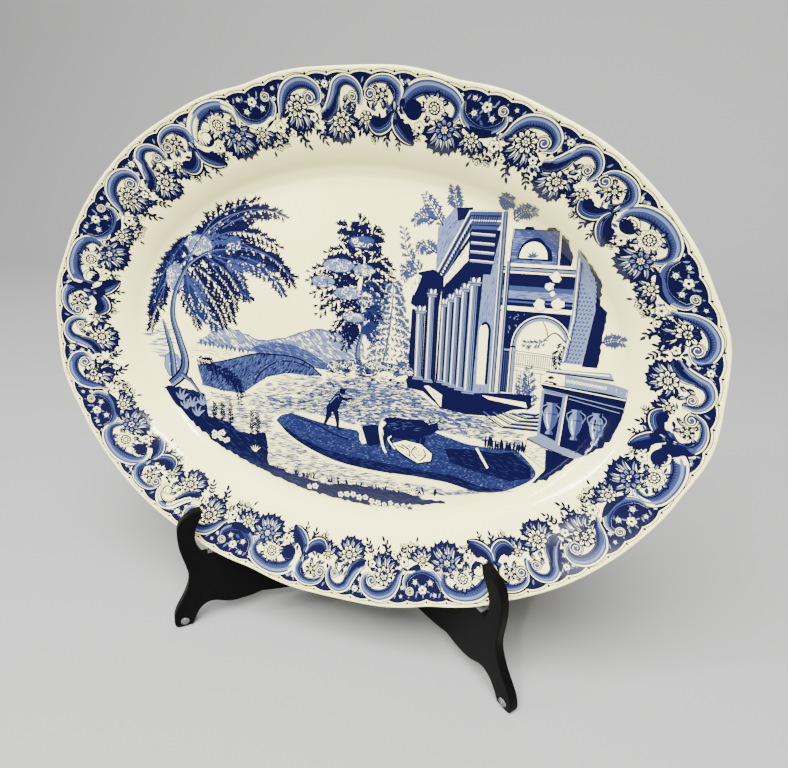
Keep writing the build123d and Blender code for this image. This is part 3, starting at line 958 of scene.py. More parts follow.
def drawUprightPiers(rnd):
    # upright piers
    for x, low, high, w in ((83.4, -16, 84, 3.2), (87.2, -16, 58, 2.6)):
        fill("pale", 12, [(x - w / 2, low), (x + w / 2, low), (x + w / 2, high), (x - w / 2, high)])
        ribbon("navy", 13, [(x + w * 0.4, low), (x + w * 0.4, high)], 0.7)
        ribbon("mid", 13, [(x - w * 0.1, low), (x - w * 0.1, high)], 0.8)
        ribbon("ivory", 13.5, [(x - w * 0.34, low), (x - w * 0.34, high)], 0.5)
    hatched("pale", 13, [(78, 50), (82, 74), (85, 74), (85, 56), (80, 44)], 40, "mid", 3, 0.3, 1.3, rnd)


def drawAttic(rnd):
    # attic with its round-headed window
    hatched("mid", 8, [(88, 57), (113, 57), (113, 75), (89, 75)], 120, "pale", 5, 0.32, 0, rnd, 0.03)
    ribbon("navy", 10, [(88, 57), (88.6, 75), (113, 75), (113, 57)], 0.6)
    for x in (94, 106):
        fill("navy", 10, [(x, 75), (x + 6, 75), (x + 5, 76.6), (x + 1, 76.4)])
    window = bow((101, 60), 9.2, 11, 0, math.pi, 15)
    fill("navy", 10, [(110.2, 59)] + window + [(91.8, 59)])
    fill("ivory", 11, [(107.6, 60)] + bow((100.2, 60.4), 7.4, 8.4, 0, math.pi, 15) + [(92.8, 60)])
    for a in (0.5, 1.1, 1.7, 2.4, 2.9):
        blade("mid", 12, (100, 60.4), (100 + 3.6 * math.cos(a), 60.4 + 3.8 * math.sin(a)), 1.2)
    fill("navy", 8, [(114, 57)] + jagged([(114, 74), (118, 70), (121, 62), (120, 57)], 0.8, 1.6, rnd))
    bands(84, 123, ((57, 55.4, "ivory"), (55.4, 54.6, "navy"), (54.6, 53.4, "pale"), (53.4, 52.8, "navy"),
            (52.8, 51.8, "ivory"), (51.8, 45, "navy"), (45, 42.4, "mid"), (42.4, 38.2, "pale"),
            (38.2, 37, "navy"), (37, 36, "mid"), (36, 34, "navy"), (34, 31.6, "ivory"), (31.6, 31, "navy")),
        9)
    strokes([(85, 38.4), (122, 38.4), (122, 45), (85, 45)], 110, "mid", 10.5, 5, 0.3, 0, rnd, 0.04)
    for cx, cy, s in ((113, 51, 3.4), (110, 46, 3.0), (105.6, 36, 3.8), (115.4, 36.6, 3.6), (112, 42, 1.8)):
        outline = [(cx + s * rnd.uniform(0.6, 1.1) * math.cos(a),
                cy + s * rnd.uniform(0.6, 1.1) * math.sin(a))
            for a in np.linspace(0, turn, 12, endpoint=False)]
        fill("ivory", 12, outline)
        ribbon("deep", 13, outline, 0.4)


def drawGreatArch(rnd):
    # the great arch and what shows through it
    crown = bow((108.5, 12), 13.5, 15, math.pi, 0, 25)
    fill("navy", 8, [(88, -15), (88, 31)] + [(123, 31), (123, 12)] + crown[::-1] + [(95, -15)])
    strokes([(90, 18), (90, 30), (100, 30), (96, 24)], 14, "pale", 9, 1.6, 0.4, 0.8, rnd, 1.5)
    for off, tone, w in ((0.8, "pale", 1.4), (1.9, "navy", 0.5), (2.6, "ivory", 0.6)):
        ribbon(tone, 10 + off, [(94.6 - off * 0.9, -15), (94.6 - off * 0.9, 11)], w)
        ribbon(tone, 10 + off, bow((108.5, 12), 13.5 + off, 15 + off, math.pi, 0.35, 25), w)
    for k in range(4):
        ribbon("mid", 9, [(89 + 1.1 * k, -14), (89 + 1.1 * k, 8)], 0.3)
    ribbon("pale", 10, [(88, 9.5), (96, 9.5)], 1.1)
    for y, w in ((9.4, 0.5), (8.2, 0.3), (1.8, 0.5), (0.6, 0.4), (-1.6, 0.4)):
        ribbon("mid", 4, [(95, y), (119, y - 1.2)], w)
    for k in range(19):
        ribbon("mid", 4, [(96 + 1.2 * k, 8), (96 + 1.2 * k, 1.6)], 0.45)
    for x, y0, y1 in ((96.6, -12, -1), (98.8, -11.4, -2), (103.4, -12, -2), (104.6, -12, -2), (110, -8, -2)):
        ribbon("mid", 4, [(x, y0), (x, y1)], 0.4)
    strokes([(95, -15), (108, -16), (108, -12.6), (95, -12)], 22, "mid", 4, 3, 0.4, 0, rnd, 0.1)
    trunk(6, ((122, 16), (115, 21), (108, 15), (102, 16)), (1.0, 0.8, 0.6, 0.3))
    trunk(6, ((112, 18), (110, 24), (106, 30)), (0.7, 0.6, 0.4))
    frond(5, ((112, 16), (104, 14), (98, 14)), 3.2, 14, "mid", rnd, 0.2, None)
    frond(9, ((120, 16), (117.6, 8), (119, 0)), 3.2, 18, "navy", rnd, 0.2, None)


def drawBrickPier(rnd):
    # the brick pier at the right
    pier = [(123, 66), (128, 60), (134, 51), (135, 36), (133, 20), (131, 5), (119, 5), (121.6, 16),
        (122.6, 30)]
    fill("pale", 9, pier)
    for i in range(26):
        for j in range(9):
            x, y = 120 + 1.9 * j + (0.95 if i % 2 else 0), 6 + 2.2 * i
            if inside(pier, x - 1.2, y) and inside(pier, x + 1.2, y) and inside(pier, x, y + 1.2):
                blade("mid", 10, (x - 0.8, y - 0.6), (x + 0.75, y + 0.6), 0.8, 0, 0.5, 4)
                blade("deep", 10.5, (x - 0.8, y + 0.9), (x + 0.5, y - 0.2), 0.3, 0, 0.5, 4)
    ribbon("navy", 11, [(125.6, 60), (125.4, 30), (122.6, 6)], 0.5)
    ribbon("ivory", 11, [(124.2, 62), (124.2, 30), (121, 6)], 0.6)
    fill("navy", 8, [(123, 67)] + jagged([(127, 63), (133, 55), (137, 50), (137, 38), (141, 34), (140, 20),
                (139, 4)], 0.7, 2, rnd) + [(131, 4), (133, 20), (134.4, 36), (133, 50)])


def drawPedestal(rnd):
    # ledge, frieze and the great pedestal, drawn and then moved together
    pedestalShift = (6.5, -1.0)
    drawn = {k: len(part["verts"]) for k, part in art.items()}
    fill("pale", 12, [(108, 2), (140, 3), (142, -1), (106, 0)])
    ribbon("navy", 13, [(106, 0.2), (142, -0.6)], 0.8)
    ribbon("ivory", 13, [(108, 1.4), (140, 1.6)], 0.7)
    fill("ivory", 12, [(105.6, 0), (116.4, -0.6), (116.4, -6.8), (105.6, -6)])
    strokes([(106, -2), (112, -2), (112, -6), (106, -6)], 8, "navy", 13, 2.6, 1.2, 0, rnd)
    fill("pale", 12, [(116.4, -0.6), (149.6, -3.6), (149.4, -9), (116.4, -6.8)])
    for k in range(20):
        roundFlower(13, (118 + 1.62 * k, -3.7 - 0.14 * k), 1.1, 4, k, "ivory", "mid")
    fill("navy", 13, [(102.6, -6), (149.4, -8.8), (148.6, -15.6), (106, -10.4)])
    ribbon("ivory", 14, [(103, -6.6), (149, -9.4)], 0.6)
    ribbon("pale", 14, [(105, -9.6), (149, -14.2)], 0.5)
    fill("pale", 12, [(104.6, -10.4), (118.6, -11.6), (116.6, -41.4), (104.4, -37)])
    fill("navy", 13, [(106.2, -12), (116.4, -13), (114.8, -39), (105.8, -35.4)])
    fill("navy", 12, [(118.6, -11.6)] + jagged([(148.6, -15.6), (147, -24), (143, -33), (136, -41),
                (130, -45)], 0.8, 2, rnd) + [(116.6, -41.4)])
    ribbon("ivory", 14, [(118.4, -12), (116.8, -41)], 0.7)
    ribbon("pale", 14, [(119.6, -13.6), (146.6, -17)], 0.5)
    for x, y, s in ((110.8, -25, 1.15), (124.4, -27, 1.1), (135.6, -27.6, 1.1)):
        # urns in low relief
        rows = ((1.8, -9), (1.8, -8.2), (0.9, -7), (2.2, -4.6), (3.2, -1.6), (3.4, 2), (2.6, 4), (1.7, 5),
            (2.0, 6.2), (2.8, 7))
        strip("pale", 24, [(x - s * a, y + s * b) for a, b in rows],
            [(x + s * a, y + s * b) for a, b in rows], 5)
        strip("mid", 25, [(x + s * a * 0.1, y + s * b) for a, b in rows],
            [(x + s * a * 0.96, y + s * b) for a, b in rows], 4)
        ribbon("ivory", 26.5, [(x - 1.8 * s, y + 2 * s), (x - 1.6 * s, y - 2 * s), (x - 0.6 * s, y - 6 * s)],
            0.6)
        ribbon("navy", 26.5, [(x - 3 * s, y + 1.4 * s), (x + 3 * s, y + 1.4 * s)], 0.4)
        for d in (-1, 1):
            ribbon("pale", 24, smoothPath([(x + d * 2.2 * s, y + 6 * s), (x + d * 4.6 * s, y + 4 * s),
                        (x + d * 3.2 * s, y)], 5), 0.5)
    fill("pale", 13, [(99, -39), (104.4, -37), (116.6, -41.4), (131, -44.6), (126, -47.4), (110, -44)])
    ribbon("navy", 14, [(99, -39.4), (110.4, -44), (126, -47.6)], 0.5)
    hatched("ivory", 13, [(99, -40), (110, -44.6), (110.6, -57), (98.6, -49)], 60, "mid", 3, 0.3, 0.2, rnd)
    ribbon("navy", 14.5, [(99, -40), (98.6, -49), (110.6, -57), (110, -44.6), (99, -40)], 0.5)
    fill("navy", 12, [(110, -44.4), (126, -47.8)]
        + jagged([(124, -50), (118, -56), (112, -62), (104, -66)], 0.8, 2, rnd) + [(110.6, -57)])
    for k, part in art.items():
        for shape in part["verts"][drawn.get(k, 0) :]:
            shape += pedestalShift


def drawTerrace(rnd):
    # terrace, its bright corner and the steps
    fill("navy", 10, [(32, -13.4), (33, -19), (43, -20.4), (54, -29), (70, -31), (86, -30), (96, -25),
            (106, -23), (106, -15), (90, -15.6), (70, -18), (50, -14)])
    hatched("ivory", 11, [(43.4, -17), (54.4, -28.4), (54.6, -21), (46, -16.4)], 16, "mid", 3, 0.24, -0.7,
        rnd)
    fill("ivory", 11, [(78, -18.4), (103, -19.6), (104, -22.6), (82, -20.4)])
    fill("ivory", 9, [(76, -27), (91, -37), (112, -36.5), (112, -24), (96, -24)])
    for k in range(5):
        corner = (91 + 4.4 * k, -36 + 2.3 * k)
        ribbon("navy", 10, [(78 + 5.4 * k, -28.5 + 0.5 * k), corner, (112, -35.4 + 2.5 * k)], 1.0)
        ribbon("mid", 9.6, [(79.6 + 5.4 * k, -27.9 + 0.5 * k), (corner[0] + 0.8, corner[1] + 0.9),
                (112, -34.6 + 2.5 * k)], 0.8)


def drawWallGrowth(rnd):
    # growth on the walls
    for spine in (((50, 75), (44, 84), (38, 92)), ((46, 78), (38, 80), (33, 76)),
            ((58, 84), (56, 90), (55, 96)), ((47, 60), (40, 64), (36, 60)), ((38, 50), (30, 60), (27, 74)),
            ((36, 48), (30, 50), (28, 44)), ((88, 80), (94, 84), (101, 84)), ((82, 85), (84, 88), (88, 89)),
            ((140, 18), (146, 20), (151, 20)), ((104, -24), (101, -14), (99, -4)),
            ((106, -22), (104, -10), (103, 2))):
        frond(5, spine, 4.4, 18, "mid", rnd, 0.1, "deep")


def drawRuins(rnd):
    drawBrokenEnd(rnd)
    drawLongSide(rnd)
    drawSideDoor(rnd)
    drawUprightPiers(rnd)
    drawAttic(rnd)
    drawGreatArch(rnd)
    drawBrickPier(rnd)
    drawPedestal(rnd)
    drawTerrace(rnd)
    drawWallGrowth(rnd)


def beast(x, y, s, tone, mark, rnd, level):
    # a grazing ox seen from the side
    def at(points):
        return [(x + s * a, y + s * b) for a, b in points]

    fill(tone, level, at([(-15, 2), (-13, 7.4), (-6, 8.6), (4, 8.2), (11, 9), (15, 6.6), (20, 8.2),
                (21.4, 4), (17, 0.6), (12.6, -1), (9, -4), (0, -5), (-9, -5), (-14, -3)]))
    for a, b in ((-13.4, -15), (-9.4, -13.4), (7.4, -13.6), (10.8, -15)):
        ribbon(tone, level, at([(a + 1.2, -2), (a + 0.4, -8), (a, b)]), np.array([3.2, 1.7, 1.3]) * s)
    blade(tone, level, *at([(16.6, 7.4), (13.6, 10.4)]), 1.0 * s)
    blade(tone, level, *at([(19.4, 8), (22.4, 10.8)]), 0.9 * s)
    ribbon(mark, level + 1, at([(-14.6, 5), (-16.4, 0), (-15.6, -7)]), np.array([1.6, 0.9, 0.5]) * s)
    strokes(at([(-12, 3), (-6, 7), (8, 6.4), (10, 2), (0, 0), (-10, -1)]), 24, mark, level + 1, 4 * s, 0.34,
        0.1, rnd)


def herdsman(x, y, s, level):
    # a small figure from behind, leaning on a long stick
    def at(points):
        return [(x + s * a, y + s * b) for a, b in points]

    fill("navy", level, at([(-5.6, 6), (-3, 11), (1.4, 16.6), (4.6, 17.4), (6.6, 13), (4.4, 7.6), (2.4, 3.6),
                (-4, 3)]))
    disc("navy", level, at([(6.4, 19)])[0], 2.3 * s)
    blade("navy", level + 0.5, *at([(3.2, 19.8), (9.8, 20.6)]), 1.5 * s)
    for leg in (((-3, 4.4), (-4.4, -1), (-6.8, -6.8)), ((1.4, 4.4), (3, -1.4), (3.4, -8))):
        ribbon("navy", level, at(leg), np.array([4.4, 3.0, 1.8]) * s)
    for foot in (((-7.6, -6.4), (-4.0, -7.0)), ((2.6, -8), (6.4, -8.6))):
        blade("navy", level, *at(foot), 1.4 * s)
    ribbon("navy", level, at([(4.4, 14.4), (9, 13.6), (13.6, 14.6)]), np.array([2.6, 1.9, 1.2]) * s)
    ribbon("pale", level + 1, at([(-2.6, 9.6), (1.6, 14.6), (4, 15.4)]), 0.5 * s)
    ribbon("deep", level + 1, at([(4.6, 12), (0, 21), (-5.4, 30)]), 0.5 * s)


def drawBank(rnd):
    bank = [(-54, -51), (-50, -47), (-42, -45), (-30, -47), (-16, -49), (0, -50), (16, -51), (32, -49),
        (46, -44), (58, -46), (72, -49), (88, -49), (99, -48), (110, -57), (112, -63), (104, -70), (92, -76),
        (78, -78), (60, -75), (40, -74), (20, -75), (0, -74), (-14, -72), (-30, -67), (-44, -60)]
    shape = smoothPath(bank + bank[:1], 3)[:-1].tolist()
    fill("deep", 6, shape)
    strokes(bank, 900, "mid", 7, 2.4, 0.5, 0.15, rnd, 0.6)
    strokes(bank, 420, "pale", 7.8, 1.4, 0.26, 0.1, rnd, 0.6)
    strokes(bank, 300, "navy", 7.9, 2.2, 0.4, 0.1, rnd, 0.6)
    low = [(-52, -53), (-38, -60), (-20, -66), (0, -68), (24, -69), (48, -70), (64, -70), (80, -74),
        (96, -74), (78, -78), (60, -75), (40, -74.4), (20, -75), (0, -74), (-14, -72), (-30, -67), (-44, -60)]
    fill("navy", 8, low)
    strokes(low, 120, "deep", 9, 5, 0.4, -0.1, rnd, 0.1)
    shade = [(58, -54), (72, -52), (90, -52), (98, -50), (109, -58), (110, -64), (98, -68), (80, -66),
        (62, -62)]
    fill("navy", 8, shade)
    strokes(shade, 60, "deep", 9, 4, 0.5, -0.3, rnd, 0.3)
    ribbon("navy", 9, smoothPath([(-40, -47), (-26, -50), (-16, -54), (-4, -57)], 6),
        np.linspace(0.5, 1.2, 19))
    ribbon("ivory", 10, [(77, -50.6), (84.4, -62)], 1.3)
    for k in range(18):
        x = 82 + 1.5 * k
        blade("navy", 10, (x, -50), (x + rnd.uniform(-1.4, 1.4), -43 + rnd.uniform(-2, 1.6)), 1.5)
    herdsman(-14, -43.4, 0.9, 12)
    beast(33, -46.6, 0.98, "navy", "mid", rnd, 13)
    ribbon("ivory", 15, smoothPath([(19.4, -42), (17.4, -46), (17.8, -52), (19.6, -59), (21.4, -62)], 5),
        np.interp(np.arange(21), (0, 8, 20), (3.4, 1.8, 1.2)))
    ribbon("ivory", 15, smoothPath([(24.4, -50.6), (22.6, -53), (25, -56.4), (27, -58.6)], 4), 0.9)
    # a pale one lying down
    fill("navy", 15, [(24.6, -55), (33, -51.4), (44, -52.6), (51.4, -58), (50.6, -63.6), (42, -66.4),
            (33, -63), (28, -59.6)])
    fill("ivory", 16, [(25.4, -55.2), (33.2, -52.2), (43.6, -53.4), (50.4, -58.4), (49.8, -62.8),
            (42, -65.4), (34, -62), (29, -59)])
    for line in (((31, -55), (36, -58), (36.6, -62)), ((40, -55), (37.6, -59), (41, -63)),
            ((45, -56), (46.4, -60), (43, -64)), ((28, -56), (33, -57.4))):
        ribbon("navy", 17, smoothPath(line, 4), 0.8)
    strokes([(30, -56), (38, -54), (48, -59), (46, -64), (38, -63), (31, -59)], 46, "mid", 16.6, 2.6, 0.34,
        -0.5, rnd, 0.5)
    # a calf with a pale face beside the herdsman
    fill("navy", 13, [(3, -50), (6, -46.6), (12, -45), (17, -44.6), (19, -50), (17, -57), (11, -59),
            (6, -57)])
    fill("ivory", 14, [(1.4, -46.6), (3.4, -45.8), (5.4, -49), (7.4, -54.6), (8.4, -57.4), (5.6, -58.6),
            (3.8, -55.6), (3.6, -51.6), (0.8, -49)])
    for tip in ((0.4, -43.4), (3.8, -42.8)):
        blade("ivory", 14, (2.4, -46.4), tip, 0.8)
    ribbon("deep", 15, [(3.4, -48.4), (5, -52), (5.8, -56)], 0.4)


def drawForeground(rnd):
    bankTop = [(-138, -38), (-127, -37), (-118, -38), (-107, -39), (-105, -48), (-104, -55), (-90, -57),
        (-80, -63), (-70, -62), (-61, -61), (-60, -70), (-60, -82)]
    bottom = [(-52, -90), (-66, -86), (-80, -81), (-96, -75), (-110, -66), (-122, -56), (-132, -47)]
    fill("navy", 10, jagged(bankTop, 0.9, 2.4, rnd) + jagged(bottom, 0.9, 2.4, rnd))
    upper = [(-92, -70), (-76, -78), (-60, -82.4), (-46, -85), (-30, -88), (-16, -89), (-2, -86.6),
        (14, -86), (32, -86), (46, -88), (60, -87.6)]
    lower = [(60, -88.4), (46, -92), (32, -96), (16, -98.2), (0, -98.6), (-18, -97.6), (-36, -94.6),
        (-54, -90), (-72, -84), (-90, -77)]
    lowBank = jagged(upper, 0.8, 2.4, rnd) + jagged(lower, 0.8, 2.4, rnd)
    fill("navy", 10, lowBank)
    strokes(lowBank, 160, "deep", 11, 7, 0.5, -0.12, rnd, 0.06)
    strokes([(p[0], p[1]) for p in bankTop] + bottom, 90, "deep", 11, 5, 0.7, -0.5, rnd, 0.3)
    # leaves, flowers and grass on the dark ground
    for x, y in ((-124, -44), (-116, -48), (-112, -54), (-121, -50), (-108, -46)):
        for a in (0.5, 1.2, 1.9, 2.6):
            blade("pale", 12, (x, y - 2), around((x, y), 6, a), 1.5, 0.25)
    for x, y in [(-96 + rnd.uniform(-8, 8), -68 + rnd.uniform(-2.5, 3))
            for i in range(9)] + [(-8 + 4.2 * i, -93.6 - 2.2 * math.sin(0.1 * i) + rnd.uniform(-1.5, 1.5))
            for i in range(12)] + [(-26, -92), (-30, -93)]:
        roundFlower(13, (x, y), rnd.uniform(1.6, 2.3), 5, rnd.random(), "ivory", "mid")
    for x, y in ((-69, -75), (-44, -84), (-20, -89), (40, -87)):
        for a in (0.8, 1.2, 1.6, 2.0, 2.4):
            blade("ivory", 13, (x, y), around((x, y), 5, a), 0.6, 0.2)
    for i in range(46):
        x = rnd.uniform(-62, 58)
        y = -82 - 3.6 * math.sin((x + 62) / 120 * math.pi)
        blade("navy", 9, (x, y - 3), (x + rnd.uniform(-2.4, 2.4), y + rnd.uniform(0, 3.6)), 1.1,
            rnd.uniform(-0.2, 0.2))
    for x, y, h in ((-94, -58, 14), (-88, -58, 16), (-100, -56, 12), (-72, -64, 18), (-68, -63, 15)):
        frond(8, ((x, y), (x + 0.6, y + h / 2), (x + 0.2, y + h)), 2.6, 18, "navy", rnd, -0.3, "navy")
    for x, y, tx, ty in ((-104, -20, -84, -34), (-98, -20, -76, -38), (-112, -16, -98, -26),
            (-90, -24, -80, -44)):
        frond(9, ((x, y), ((x + tx) / 2 + 3, (y + ty) / 2 + 3), (tx, ty)), 4.0, 20, "navy", rnd, 0.5, None)
    trunk(14, ((-118, -30), (-112, -38), (-106, -44)), (2.6, 1.8, 0.8))


def buildPicture():
    rnd = random.Random(7)
    drawFarLand(rnd)
    drawMiddleTrees(rnd)
    drawRuins(rnd)
    drawBank(rnd)
    drawForeground(rnd)
    drawArchingTree(rnd)


drawing["area"] = "scene"
buildPicture()
print("picture drawn")


# the folding easel
def spline(points):
    # natural cubic spline through the points, spaced by distance
    p = np.array(points, float)
    n = len(p)
    s = np.concatenate([[0], np.cumsum(np.hypot(*np.diff(p, axis=0).T))])
    h = np.diff(s)
    a = np.zeros((n, n))
    b = np.zeros((n, 2))
    a[0, 0] = a[-1, -1] = 1
    for i in range(1, n - 1):
        a[i, i - 1 : i + 2] = h[i - 1], 2 * (h[i - 1] + h[i]), h[i]
        b[i] = 6 * ((p[i + 1] - p[i]) / h[i] - (p[i] - p[i - 1]) / h[i - 1])
    m = np.linalg.solve(a, b)
    out = []
    for i in range(n - 1):
        for u in np.linspace(0, h[i], 10, endpoint=False):
            v = h[i] - u
            out.append((m[i] * v**3 + m[i + 1] * u**3) / (6 * h[i]) + (p[i] / h[i] - m[i] * h[i] / 6) * v
                + (p[i + 1] / h[i] - m[i + 1] * h[i] / 6) * u)
    return [tuple(q) for q in out]


def sideOutline():
    # the board seen flat: distance from the hinge, then height
    front = ((143.3, 4), (142.6, 9.5), (136.6, 21), (131.4, 30.5), (128.7, 40), (129.3, 50), (131.1, 62),
        (131.2, 72), (129, 81.5), (124, 86.6), (118.6, 89), (113.6, 90))
    hook = ((113.6, 90), (114.4, 84.5), (117, 79.8), (119.4, 74.5), (120.5, 68), (119.8, 60.5), (117.4, 55.2))
    under = ((104.5, 55.2), (95, 62.2), (82, 71.5), (70, 79.6), (58.5, 84.4), (51, 88), (46, 94.5))
    upright = ((46, 94.5), (38, 120), (30.4, 145), (23.3, 170), (16.8, 192))
    top = ((16.8, 192), (12.4, 199.4), (2.8, 202))
    arch = ((31, 0), (35, 4.6), (44, 8.8), (57, 10.4), (70, 11.6), (83, 14))
    wave = ((83, 14), (91, 12.3), (98, 11.6), (107, 12.6), (117.5, 16), (123.5, 13.4), (128.4, 7), (131.8, 0))
    toe = ((139.6, 0), (142.2, 1.1), (143.3, 4))
    points = []
    for part in (front, hook, under, upright, top):
        points += spline(part)
    points += [(2.8, 202), (2.8, 0)]
    for part in (arch, wave, toe):
        points += spline(part)
    return points


def boardPlace(way):
    # puts a point of the flat board in its place on the left or right side
    c, s = math.cos(boardTurn), math.sin(boardTurn)

    def place(u, v, z):
        return (way * (u * s + v * c) * mm, (hingeY - u * c + v * s) * mm, z * mm)

    return place


paintLook = {"roughness": 0.5, "shine": 0.05, "dark": (0.0012, 0.0012, 0.0014, 1),
    "light": (0.003, 0.0028, 0.0028, 1), "grainScale": (260, 260, 30)}
brassLook = {"dark": (0.42, 0.27, 0.09, 1), "light": (0.62, 0.43, 0.16, 1), "roughness": (0.25, 0.42),
    "grainScale": 300.0}
plasticLook = {"colour": (0.86, 0.87, 0.88, 1), "roughness": 0.16, "clear": 0.85, "ior": 1.46, "alpha": 0.55,
    "coat": 0.5, "coatRoughness": (0.03, 0.1), "hazeScale": 120.0}


def paintedWood():
    m, nodes, links, shader = newMaterial("black_paint")
    shader.inputs["Roughness"].default_value = paintLook["roughness"]
    shader.inputs["Specular IOR Level"].default_value = paintLook["shine"]
    place = node(nodes, "TexCoord")
    stretch = node(nodes, "Mapping")
    stretch.inputs["Scale"].default_value = paintLook["grainScale"]
    links.new(place.outputs["Object"], stretch.inputs["Vector"])
    grain = node(nodes, "TexNoise", Scale=1.0, Detail=5.0)
    links.new(stretch.outputs["Vector"], grain.inputs["Vector"])
    ramp = node(nodes, "ValToRGB")
    setRamp(ramp, paintLook["dark"], paintLook["light"])
    links.new(grain.outputs["Fac"], ramp.inputs["Fac"])
    links.new(ramp.outputs["Color"], shader.inputs["Base Color"])
    bump = node(nodes, "Bump", Strength=0.12, Distance=0.0002)
    links.new(grain.outputs["Fac"], bump.inputs["Height"])
    links.new(bump.outputs["Normal"], shader.inputs["Normal"])
    return m


def brass():
    m, nodes, links, shader = newMaterial("hinge_brass")
    shader.inputs["Metallic"].default_value = 1.0
    place = node(nodes, "TexCoord")
    noise = node(nodes, "TexNoise", Scale=brassLook["grainScale"], Detail=4.0)
    links.new(place.outputs["Object"], noise.inputs["Vector"])
    ramp = node(nodes, "ValToRGB")
    setRamp(ramp, brassLook["dark"], brassLook["light"])
    links.new(noise.outputs["Fac"], ramp.inputs["Fac"])
    links.new(ramp.outputs["Color"], shader.inputs["Base Color"])
    rough = node(nodes, "MapRange")
    setRange(rough, *brassLook["roughness"])
    links.new(noise.outputs["Fac"], rough.inputs["Value"])
    links.new(rough.outputs["Result"], shader.inputs["Roughness"])
    return m


def clearPlastic():
    m, nodes, links, shader = newMaterial("clear_bumper")
    shader.inputs["Base Color"].default_value = plasticLook["colour"]
    shader.inputs["Roughness"].default_value = plasticLook["roughness"]
    shader.inputs["Transmission Weight"].default_value = plasticLook["clear"]
    shader.inputs["IOR"].default_value = plasticLook["ior"]
    shader.inputs["Alpha"].default_value = plasticLook["alpha"]
    place = node(nodes, "TexCoord")
    noise = node(nodes, "TexNoise", Scale=plasticLook["hazeScale"])
    links.new(place.outputs["Object"], noise.inputs["Vector"])
    haze = node(nodes, "MapRange")
    setRange(haze, *plasticLook["coatRoughness"])
    links.new(noise.outputs["Fac"], haze.inputs["Value"])
    links.new(haze.outputs["Result"], shader.inputs["Coat Roughness"])
    shader.inputs["Coat Weight"].default_value = plasticLook["coat"]
    return m


def buildBoard(way, name, body, replaced, material):
    board = {"near": 1.25, "thick": 6.0, "round": 0.8}
    outline = sideOutline()
    curve = bpy.data.curves.new(name + "_outline", "CURVE")
    curve.dimensions, curve.fill_mode = "2D", "BOTH"
    curve.extrude = board["thick"] / 2 - board["round"]
    curve.bevel_depth, curve.bevel_resolution, curve.offset = board["round"], 3, -board["round"]
    s = curve.splines.new("POLY")
    s.points.add(len(outline) - 1)
    s.points.foreach_set("co", [c for u, z in outline for c in (u, z, 0, 1)])
    s.use_cyclic_u = True
    holder = bpy.data.objects.new(name + "_outline", curve)
    bpy.context.scene.collection.objects.link(holder)
    bpy.context.view_layer.update()
    shape = bpy.data.meshes.new_from_object(holder.evaluated_get(bpy.context.evaluated_depsgraph_get()))
    place = boardPlace(way)
    centre = board["near"] + board["thick"] / 2
    verts = [place(v.co.x, centre + v.co.z, v.co.y) for v in shape.vertices]
    faces = [tuple(p.vertices) if way > 0 else tuple(reversed(p.vertices)) for p in shape.polygons]
    bpy.data.objects.remove(holder)
    obj = meshObject(name, verts, faces, material)
    work = bmesh.new()
    work.from_mesh(obj.data)
    bmesh.ops.remove_doubles(work, verts=work.verts, dist=1e-6)
    bmesh.ops.recalc_face_normals(work, faces=work.faces)
    work.to_mesh(obj.data)
    work.free()
    obj.data.polygons.foreach_set("use_smooth", [True] * len(obj.data.polygons))
    keep = obj.modifiers.new("flat_faces", "WEIGHTED_NORMAL")
    keep.keep_sharp = True
    return finishPiece(obj, body, "painted_wood", replaced)


def buildEasel():
    paint, metal, plastic = paintedWood(), brass(), clearPlastic()
    buildBoard(-1, "easel_side_left", "easel_left", "left_side", paint)
    buildBoard(1, "easel_side_right", "easel_right", "right_side", paint)
    for name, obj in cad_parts.items():
        if "leaf" in name or "screws" in name or "pin" in name:
            obj.data.materials.clear()
            obj.data.materials.append(metal)
        elif "pad" in name or "dot" in name:
            obj.data.materials.clear()
            obj.data.materials.append(plastic)


buildEasel()
print("easel made")


# make one mesh per area and tone
toneColours = {"navy": (0.003, 0.003, 0.022), "deep": (0.009, 0.013, 0.056), "mid": (0.027, 0.038, 0.105),
    "pale": (0.115, 0.145, 0.235), "ivory": (0.91, 0.865, 0.38)}


printGap = {"first": 0.03, "step": 0.007}  # above the glaze, and from one level to the next


def outward(flat, face):
    # whether a face's corners run so that it faces out of the dish
    a = sum(flat[face[i - 1]][0] * flat[face[i]][1] - flat[face[i]][0] * flat[face[i - 1]][1]
        for i in range(len(face)))
    return a > 0


def layPrint():
    materials = {t: glaze("print_" + t, toneColours[t], 0) for t in tones}
    for (area, tone), part in sorted(art.items()):
        flat = np.concatenate(part["verts"])
        level = np.concatenate(part["level"])
        mapper = rimPoint if area == "border" else wellPoint
        n = surfaceNormal(mapper, flat)
        p = mapper(flat) + n * (printGap["first"] + printGap["step"] * level)[:, None]
        stood = standUp(p)
        faces = [f if outward(flat, f) else tuple(reversed(f)) for f in part["faces"]]
        obj = meshObject(area + "_" + tone, stood, faces, materials[tone])
        up = standUp(p + n) - standUp(p)
        up /= np.linalg.norm(up, axis=1)[:, None]
        obj.data.normals_split_custom_set_from_vertices([tuple(v) for v in up])
        finishPiece(obj, "platter_body", "glazed_china")
        print(obj.name, len(obj.data.polygons))


layPrint()
print("print laid")


# floor, lights, camera
def lookStraight(obj, right, up, place):
    back = Vector(right).cross(Vector(up)).normalized()
    obj.matrix_world = Matrix(((right[0], up[0], back[0], place[0]), (right[1], up[1], back[1], place[1]),
            (right[2], up[2], back[2], place[2]), (0, 0, 0, 1)))


